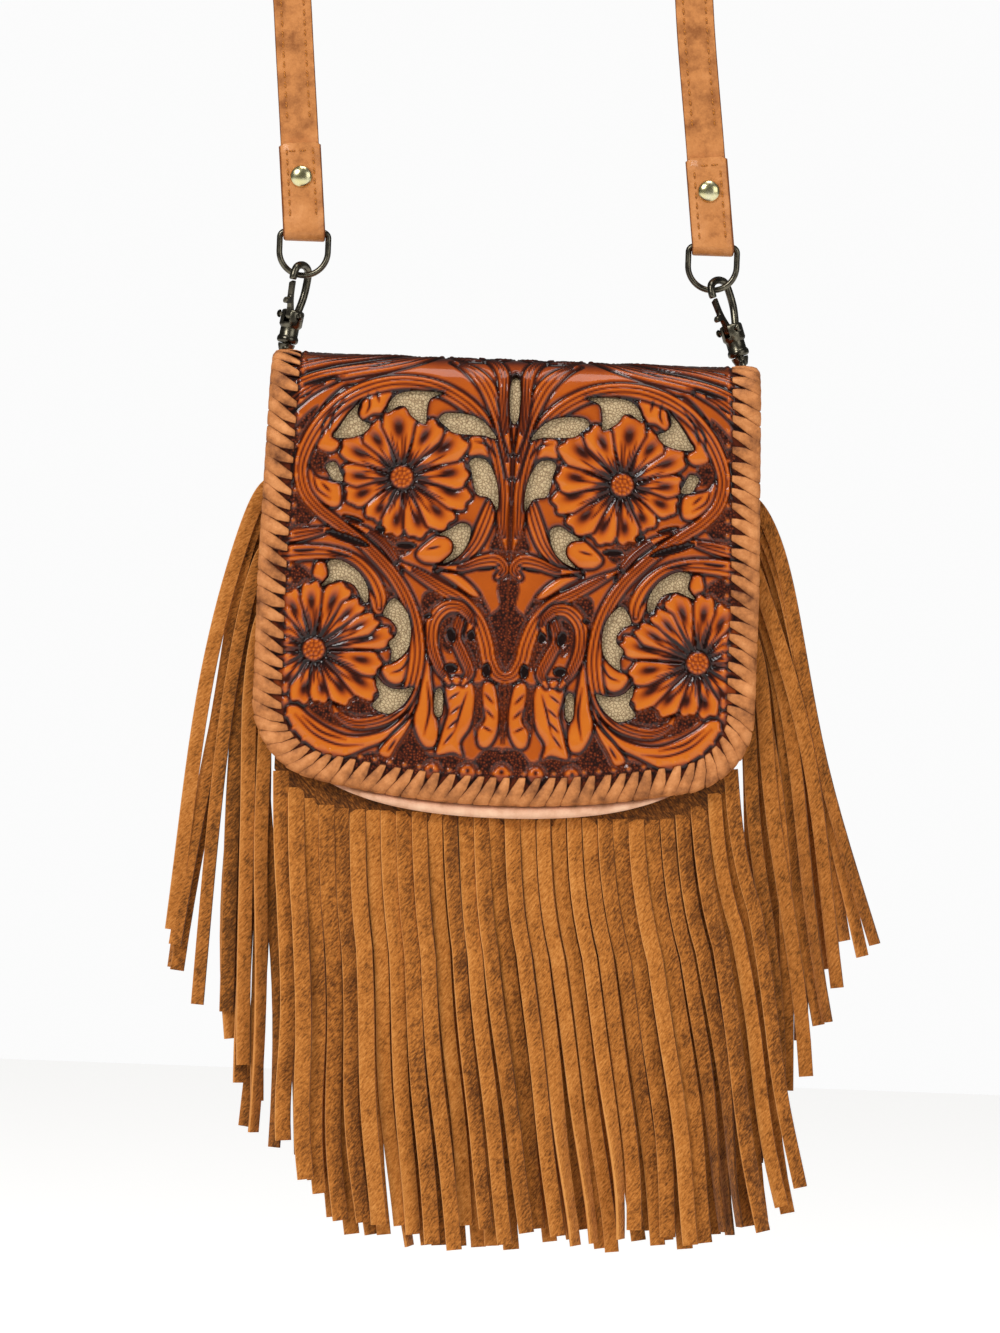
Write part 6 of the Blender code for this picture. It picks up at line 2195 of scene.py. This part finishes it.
@dataclass
class BackStrip:
    """The end of the flap's hide: from its crease over the rear edge and down the back, sewn on there."""

    half_width: float = POUCH_HALF_WIDTH - 6.0
    bend: float = 8.0
    foot: float = 48.0

    def build(self, finish: Material, thread: Material) -> None:
        """Makes the strip and its stitches.

        Args:
            finish: the leather's material.
            thread: the stitches' material.
        """
        face = POUCH_BACK_Y + FIT + FLAP_LEATHER
        start = HINGE_Y + 0.02
        centre = (face - self.bend, FLAP_TOP - self.bend)
        front = [(y, FLAP_TOP) for y in np.linspace(start, centre[0] - 0.5, 12)]
        outer = front + arc(centre, self.bend, math.pi / 2, 0, 14) + [(face, 70), (face, 60),
                                                                      (face, self.foot + 0.7)]
        outer += [(face - 0.6, self.foot)]
        inner = [(y, FLAP_TOP - FLAP_LEATHER) for y, _ in front]
        inner += arc(centre, self.bend - FLAP_LEATHER, math.pi / 2, 0, 14)
        inner += [(face - FLAP_LEATHER, 70), (face - FLAP_LEATHER, 60), (face - FLAP_LEATHER, self.foot)]
        outline = outer + inner[::-1]
        half = self.half_width
        columns = [-half, -half + 0.7, *np.linspace(-half + 4, half - 4, 60), half - 0.7, half]
        rings, dye = [], []
        for i, x in enumerate(columns):
            for k, (y, z) in enumerate(outline):
                sunk = 0.5 if i in (0, len(columns) - 1) and k < len(outer) else 0.0
                toward = np.array([y, z]) - (centre[0] - 4, FLAP_TOP - 20)
                y, z = np.array([y, z]) - sunk * toward / np.linalg.norm(toward)
                rings.append((x, y, z))
                dye.append(0.42 + (0.5 if i in (0, len(columns) - 1) or k >= len(outer) - 1 else 0.0))
        made = piece("flap_fixed_end", rings, skin((len(columns), len(outline))), finish,
                     {"dye": np.array(dye), "ground": 0.0}, angle=50)
        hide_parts("flap_back_strip")
        tuple(lifted((0, HINGE_Y, FLAP_TOP - 1.4)))
        tuple(lifted((0, HINGE_Y + 2.4, FLAP_TOP - 1.4)))
        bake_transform(made)
        rows = back_stitches([(-half + 4, FLAP_TOP - 14), (-half + 4, self.foot + 4),
                              (half - 4, self.foot + 4),
                              (half - 4, FLAP_TOP - 14)], face)
        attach(piece("back_strip_thread", *gathered(rows), thread, angle=60), "bag")


def back_stitches(corners: list, face: float, length: float = 3.2, gap: float = 1.6) -> list:
    """Stitches on a face that looks back.

    Args:
        corners: the line's (x, height) corners.
        face: how far back the face is.
        length: how long a stitch is.
        gap: how far apart two are.

    Returns:
        The points and faces of each stitch.
    """
    spots, ways = walk(dense(corners), length + gap)
    found = []
    for spot, way in zip(spots[:-1], ways[:-1]):
        side = np.array([-way[1], way[0]])
        ring = []
        for share, lift, size in BACK_STITCH:
            for turn in STITCH_TURNS:
                flat = spot + way * share * length + side * size * math.cos(turn)
                ring.append((flat[0], face + lift + size * math.sin(turn), flat[1]))
        found.append((np.array(ring), skin((5, 6))))
    return found


def dense(corners: list, step: float = 1.0) -> np.ndarray:
    """A line through corners with points at short steps.

    Args:
        corners: the corners.
        step: how long a step is.

    Returns:
        The line's points.
    """
    corners = np.asarray(corners, float)
    found = [corners[:1]]
    for a, b in zip(corners, corners[1:]):
        count = max(int(np.linalg.norm(b - a) / step), 1)
        found.append(a + (b - a) * (np.arange(1, count + 1) / count)[:, None])
    return np.vstack(found)


def pouch_edge(inset: float, top: float, steps: int = 20) -> np.ndarray:
    """The pouch's outline.

    Args:
        inset: how far inside the seam.
        top: the height at which it starts and ends.
        steps: how many points a round corner has.

    Returns:
        Its (x, height) points, from its top right down, round the bottom and up to its top left.
    """
    half, radius = POUCH_HALF_WIDTH - inset, POUCH_CORNER - inset
    centre = (POUCH_HALF_WIDTH - POUCH_CORNER, POUCH_BOTTOM + POUCH_CORNER)
    side = [(half, z) for z in np.linspace(top, centre[1], 24)[:-1]]
    right = side + arc(centre, radius, 0, -math.pi / 2, steps)
    right += [(x, POUCH_BOTTOM + inset) for x in np.linspace(centre[0], 0, 12)[1:]]
    return np.array(right + [(-x, z) for x, z in reversed(right[:-1])])


@dataclass
class Pouch:
    """The suede pouch: a front, a back and a gusset that sinks in between its seams, and a lining cup."""

    suede: float = 1.8
    gusset_suede: float = 2.0
    front_top: float = 66.0
    back_top: float = 72.0
    gusset_top: float = 72.0
    lining_top: float = 62.0
    sink: float = 4.0

    def build(self, suede: Material, lining: Material) -> None:
        """Makes the four pieces.

        Args:
            suede: the outside's material.
            lining: the lining's material.
        """
        self.panel("front_suede", "front_panel", self.front_top, POUCH_FRONT_Y, suede, 1.0)
        self.panel("back_suede", "back_panel", self.back_top, POUCH_BACK_Y - self.suede, suede, -1.0)
        low, high = POUCH_FRONT_Y + self.suede + FIT, POUCH_BACK_Y - self.suede - FIT
        band = self.wall(0, self.gusset_suede, self.gusset_top, low, high)
        made = piece("gusset_suede", *band[:2], suede, {"tone": -0.03}, band[2], angle=60)
        stand_for(made, "gusset")
        self.cup(lining, low, high)

    def panel(self, name: str, node: str, top: float, y: float, finish: Material, inward: float) -> None:
        """One flat suede panel that sinks a little between its seams.

        Args:
            name: its name.
            node: the CAD node it replaces.
            top: the height of its top edge.
            y: how far back its front face is.
            finish: its material.
            inward: 1 or -1, the way it sinks.
        """
        edge = pouch_edge(0, top)
        grid = np.array([(a, b) for a in np.arange(-95, 96, 4.0) for b in np.arange(-84, top - 1, 4.0)])
        depth = reach(grid[:, 0], grid[:, 1], edge)
        grid = grid[depth > 1.5]
        points, triangles = filled(edge, grid)

        def laid(x: np.ndarray, z: np.ndarray, depth: float) -> np.ndarray:
            """Turns across, height and depth to points of the sinking panel.

            Args:
                x: how far across.
                z: the height.
                depth: how far inside the outer face.

            Returns:
                One point for each pair.
            """
            within = np.clip(reach(x, z, edge), 0, 30) / 30
            fold = 0.4 * np.sin(x / 17.0 + z / 29.0) + 0.3 * np.sin(z / 11.0 - x / 23.0)
            return np.stack([x, y + depth + inward * within * (1.4 + fold), z], axis=-1)

        solid, faces, _ = thick_sheet(points, triangles, np.zeros(len(points)), 0.0, self.suede, grid, laid)
        along = np.stack([solid[:, 0], solid[:, 2]], axis=1)
        made = piece(name, solid, faces, finish, {"tone": -0.02}, along, angle=60)
        stand_for(made, node)

    def wall(self, outside: float, inside: float, top: float, low: float, high: float) -> tuple:
        """A band round the pouch's edge, which sinks in between its two seams.

        Args:
            outside: how far inside the seam its outer face lies.
            inside: the same for its inner face.
            top: the height of its ends.
            low: where its front edge is.
            high: where its rear edge is.

        Returns:
            Its points, faces and flat positions.
        """
        outer, inner = pouch_edge(outside, top), pouch_edge(inside, top)
        shares = np.linspace(0, 1, 15)
        length = np.concatenate([[0], np.cumsum(np.linalg.norm(np.diff(outer, axis=0), axis=1))])
        points, along = [], []
        for i, (a, b) in enumerate(zip(outer, inner)):
            inward = (b - a) / max(np.linalg.norm(b - a), 1e-6)
            slack = self.sink * float(ease((44.0 - a[1]) / 40.0)) * (1 + 0.2 * math.sin(a[1] / 13.0))
            for line, order in ((a, shares), (b, shares[::-1])):
                for share in order:
                    x, z = line + inward * slack * math.sin(math.pi * share)
                    points.append((x, low + (high - low) * share, z))
                    along.append((low + (high - low) * share, length[i]))
        return np.array(points), skin((len(outer), 2 * len(shares))), np.array(along)

    def cup(self, finish: Material, low: float, high: float) -> None:
        """The thin lining cup, open at its top.

        Args:
            finish: its material.
            low: where the gusset's front edge is.
            high: where its rear edge is.
        """
        clear = self.gusset_suede + FIT
        leather = 0.8
        edge = pouch_edge(clear, self.lining_top)
        inner = pouch_edge(clear + leather, self.lining_top)
        size = len(edge)
        lows, highs = low + 1.8, high - 1.8
        points = [(x, y, z) for y in (lows, highs) for x, z in edge]
        points += [(x, y, z) for y in (lows + leather, highs - leather) for x, z in inner]
        faces = [tuple(range(size)), tuple(range(size, 2 * size))]
        faces += [tuple(range(2 * size, 3 * size)), tuple(range(3 * size, 4 * size))]
        for start in (0, 2 * size):
            for i in range(size - 1):
                faces.append((start + i, start + i + 1, start + size + i + 1, start + size + i))
        outer_rim = [0, size - 1, 2 * size - 1, size]
        inner_rim = [2 * size, 3 * size - 1, 4 * size - 1, 3 * size]
        for i in range(4):
            k = (i + 1) % 4
            faces.append((outer_rim[i], outer_rim[k], inner_rim[k], inner_rim[i]))
        points = np.array(points)
        narrow = self.sink * ease((44.0 - points[:, 2]) / 40.0) * 1.2
        points[:, 0] -= np.sign(points[:, 0]) * narrow * (np.abs(points[:, 0]) > 30)
        points[:, 2] += np.where(points[:, 2] < -70, 1.0, 0.0) * self.sink * 1.2
        made = piece("lining_cup", points, faces, finish, {"shade": 0.2}, angle=50)
        stand_for(made, "pouch_lining")


@dataclass
class Studio:
    """The floor, soft light in a pale surround and the camera at the photo's place."""

    distance: float = 2.6
    seen_height: float = 0.544
    centre: tuple = (-0.0022, -0.064, -0.4354)
    roll: float = 0.0366
    surround: float = 0.68
    reflected: float = 0.1
    white: float = 0.97

    def build(self, paint: Material) -> None:
        """Sets the stage.

        Args:
            paint: the floor's material.
        """
        bpy.ops.object.select_all(action="DESELECT")
        bpy.ops.mesh.primitive_plane_add(size=6, location=(0, 0, 0))
        floor = bpy.context.active_object
        floor.name = "studio_floor"
        floor.data.transform(Matrix.Translation((0, 0, -0.80)))
        floor.data.materials.append(paint)
        self.lamp("key_light", (-1.2, -1.9, 1.0), 0.8, 26.0)
        self.lamp("fill_light", (1.6, -1.7, 0.3), 1.3, 9.0)
        self.lamp("top_light", (0.1, -0.5, 1.5), 0.9, 10.0)
        self.world()
        self.camera()
        bpy.context.scene.view_settings.view_transform = "Standard"

    def lamp(self, name: str, place: tuple, size: float, power: float) -> None:
        """A soft square light that looks at the bag.

        Args:
            name: its name.
            place: where it stands, in metres.
            size: its side in metres.
            power: its power in watts.
        """
        light = bpy.data.lights.new(name, "AREA")
        light.size, light.energy = size, power
        made = bpy.data.objects.new(name, light)
        bpy.context.scene.collection.objects.link(made)
        aim = Vector(self.centre) - Vector(place)
        made.matrix_world = Matrix.Translation(place) @ aim.to_track_quat("-Z", "Y").to_matrix().to_4x4()

    def world(self) -> None:
        """A pale, even surround: white where the camera sees it, and dim in the reflections."""
        world = bpy.data.worlds.new("studio_air")
        bpy.context.scene.world = world
        world.use_nodes = True
        tree = world.node_tree
        shade = tree.nodes["Background"]
        shade.inputs["Color"].default_value = srgb("FFFFFF")
        rays = add(tree, "LightPath").outputs
        level = add(tree, "MapRange", None, {"Value": rays["Is Glossy Ray"], "To Min": self.surround,
                                             "To Max": self.reflected}).outputs[0]
        camera = rays["Is Camera Ray"]
        seen = add(tree, "MapRange", None, {"Value": camera, "To Min": level, "To Max": self.white})
        tree.links.new(seen.outputs[0], shade.inputs["Strength"])

    def camera(self) -> None:
        """The camera, square on to the bag's front, rolled about two degrees as the photo is."""
        lens = bpy.data.cameras.new("photo_camera")
        lens.sensor_fit = "VERTICAL"
        lens.sensor_height = 36.0
        lens.lens = 36.0 * self.distance / self.seen_height
        made = bpy.data.objects.new("photo_camera", lens)
        bpy.context.scene.collection.objects.link(made)
        away = Vector((0, -1, 0))
        up = Vector((-self.roll, 0, 1)).normalized()
        side = up.cross(away).normalized()
        frame_matrix = Matrix((side, up, away)).transposed().to_4x4()
        made.matrix_world = Matrix.Translation(Vector(self.centre) + away * self.distance) @ frame_matrix
        bpy.context.scene.camera = made


@dataclass(frozen=True)
class Paint(Finish):
    """Matt studio paint, nearly white, a little brighter to the camera so that it meets the surround."""

    name: str = "studio_paint"
    colour: str = "F4F3F1"
    glow: float = 0.3

    def build(self) -> Material:
        """Makes the material and its nodes.

        Returns:
            The material.
        """
        material, tree, shader, _ = self.start()
        shader.inputs["Base Color"].default_value = srgb(self.colour)
        shader.inputs["Roughness"].default_value = 0.9
        shader.inputs["Emission Color"].default_value = srgb("FFFFFF")
        seen = add(tree, "LightPath").outputs["Is Camera Ray"]
        glow = add(tree, "Math", {"operation": "MULTIPLY"}, {0: seen, 1: self.glow}).outputs[0]
        tree.links.new(glow, shader.inputs["Emission Strength"])
        return material


def dress_bag() -> None:
    """Makes every piece of the bag."""
    orange = CarvedLeather().build()
    CarvedPanel().build(orange)
    LOG.info("carved panel")
    Inlay().build(FoilLeather().build())
    natural = PlainLeather("natural_leather", "F2C8A6", "E6B594", "C08A66", shaded="shade").build()
    FlapLining().build(natural)
    LOG.info("flap sheets")
    lace = PlainLeather("lace_leather", "DC955C", "BC7742", "4E2410", shaded="shade", roughness=0.55,
                        depth_mm=0.3).build()
    Lace().build(lace)
    LOG.info("lace")
    thread = Thread("waxed_thread").build()
    BackStrip().build(orange, thread)
    suede = Suede("golden_tan_suede").build()
    shaded = Suede("shaded_suede", "D08A46", "AA6627", "683C12").build()
    Pouch().build(suede, PlainLeather("lining_leather", "A87E58", "9C7350", "74522F", shaded="shade").build())
    HangingFringe("front_fringe", "fringe_front", 1, 30, STRIP_PITCH, 6.0, 11).build(suede)
    HangingFringe("under_fringe", "fringe_under", 0, 29, STRIP_PITCH, 1.5, 12, rings=14,
                  start=0.5).build(shaded)
    SideFringe(Side.LEFT, ((39.0, -148.0), (-12.0, -232.0)), 21).build(shaded)
    SideFringe(Side.RIGHT, ((53.0, -138.0), (21.0, -228.0)), 22).build(shaded)
    LOG.info("fringe")
    band = PlainLeather("strap_leather", "D28E54", "C27E45", "7A431C", roughness=0.45, coat=0.15,
                        shaded="shade").build()
    Strap().build(band, thread)
    steel = Metal("gunmetal").build()
    brass = Metal("pale_brass", "E2D9A0", "F0EAC4", 0.2).build()
    tan = PlainLeather("tab_leather", "C28E58", "AE7A46", "7C5128", shaded="shade").build()
    for name in ("magnet_socket", "magnet_stud"):
        node = bpy.data.objects[name]
        node.data.materials.clear()
        node.data.materials.append(brass)
    for side in Side:
        StrapEnd(side).build(steel, brass)
        TriggerSnap(side).build(steel)
        Tab(side).build(tan)
    LOG.info("strap and hardware")


def main() -> None:
    """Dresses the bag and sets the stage."""
    logging.basicConfig(level=logging.INFO, format="%(message)s")
    dress_bag()
    Studio().build(Paint().build())


if __name__ == "__main__":
    main()
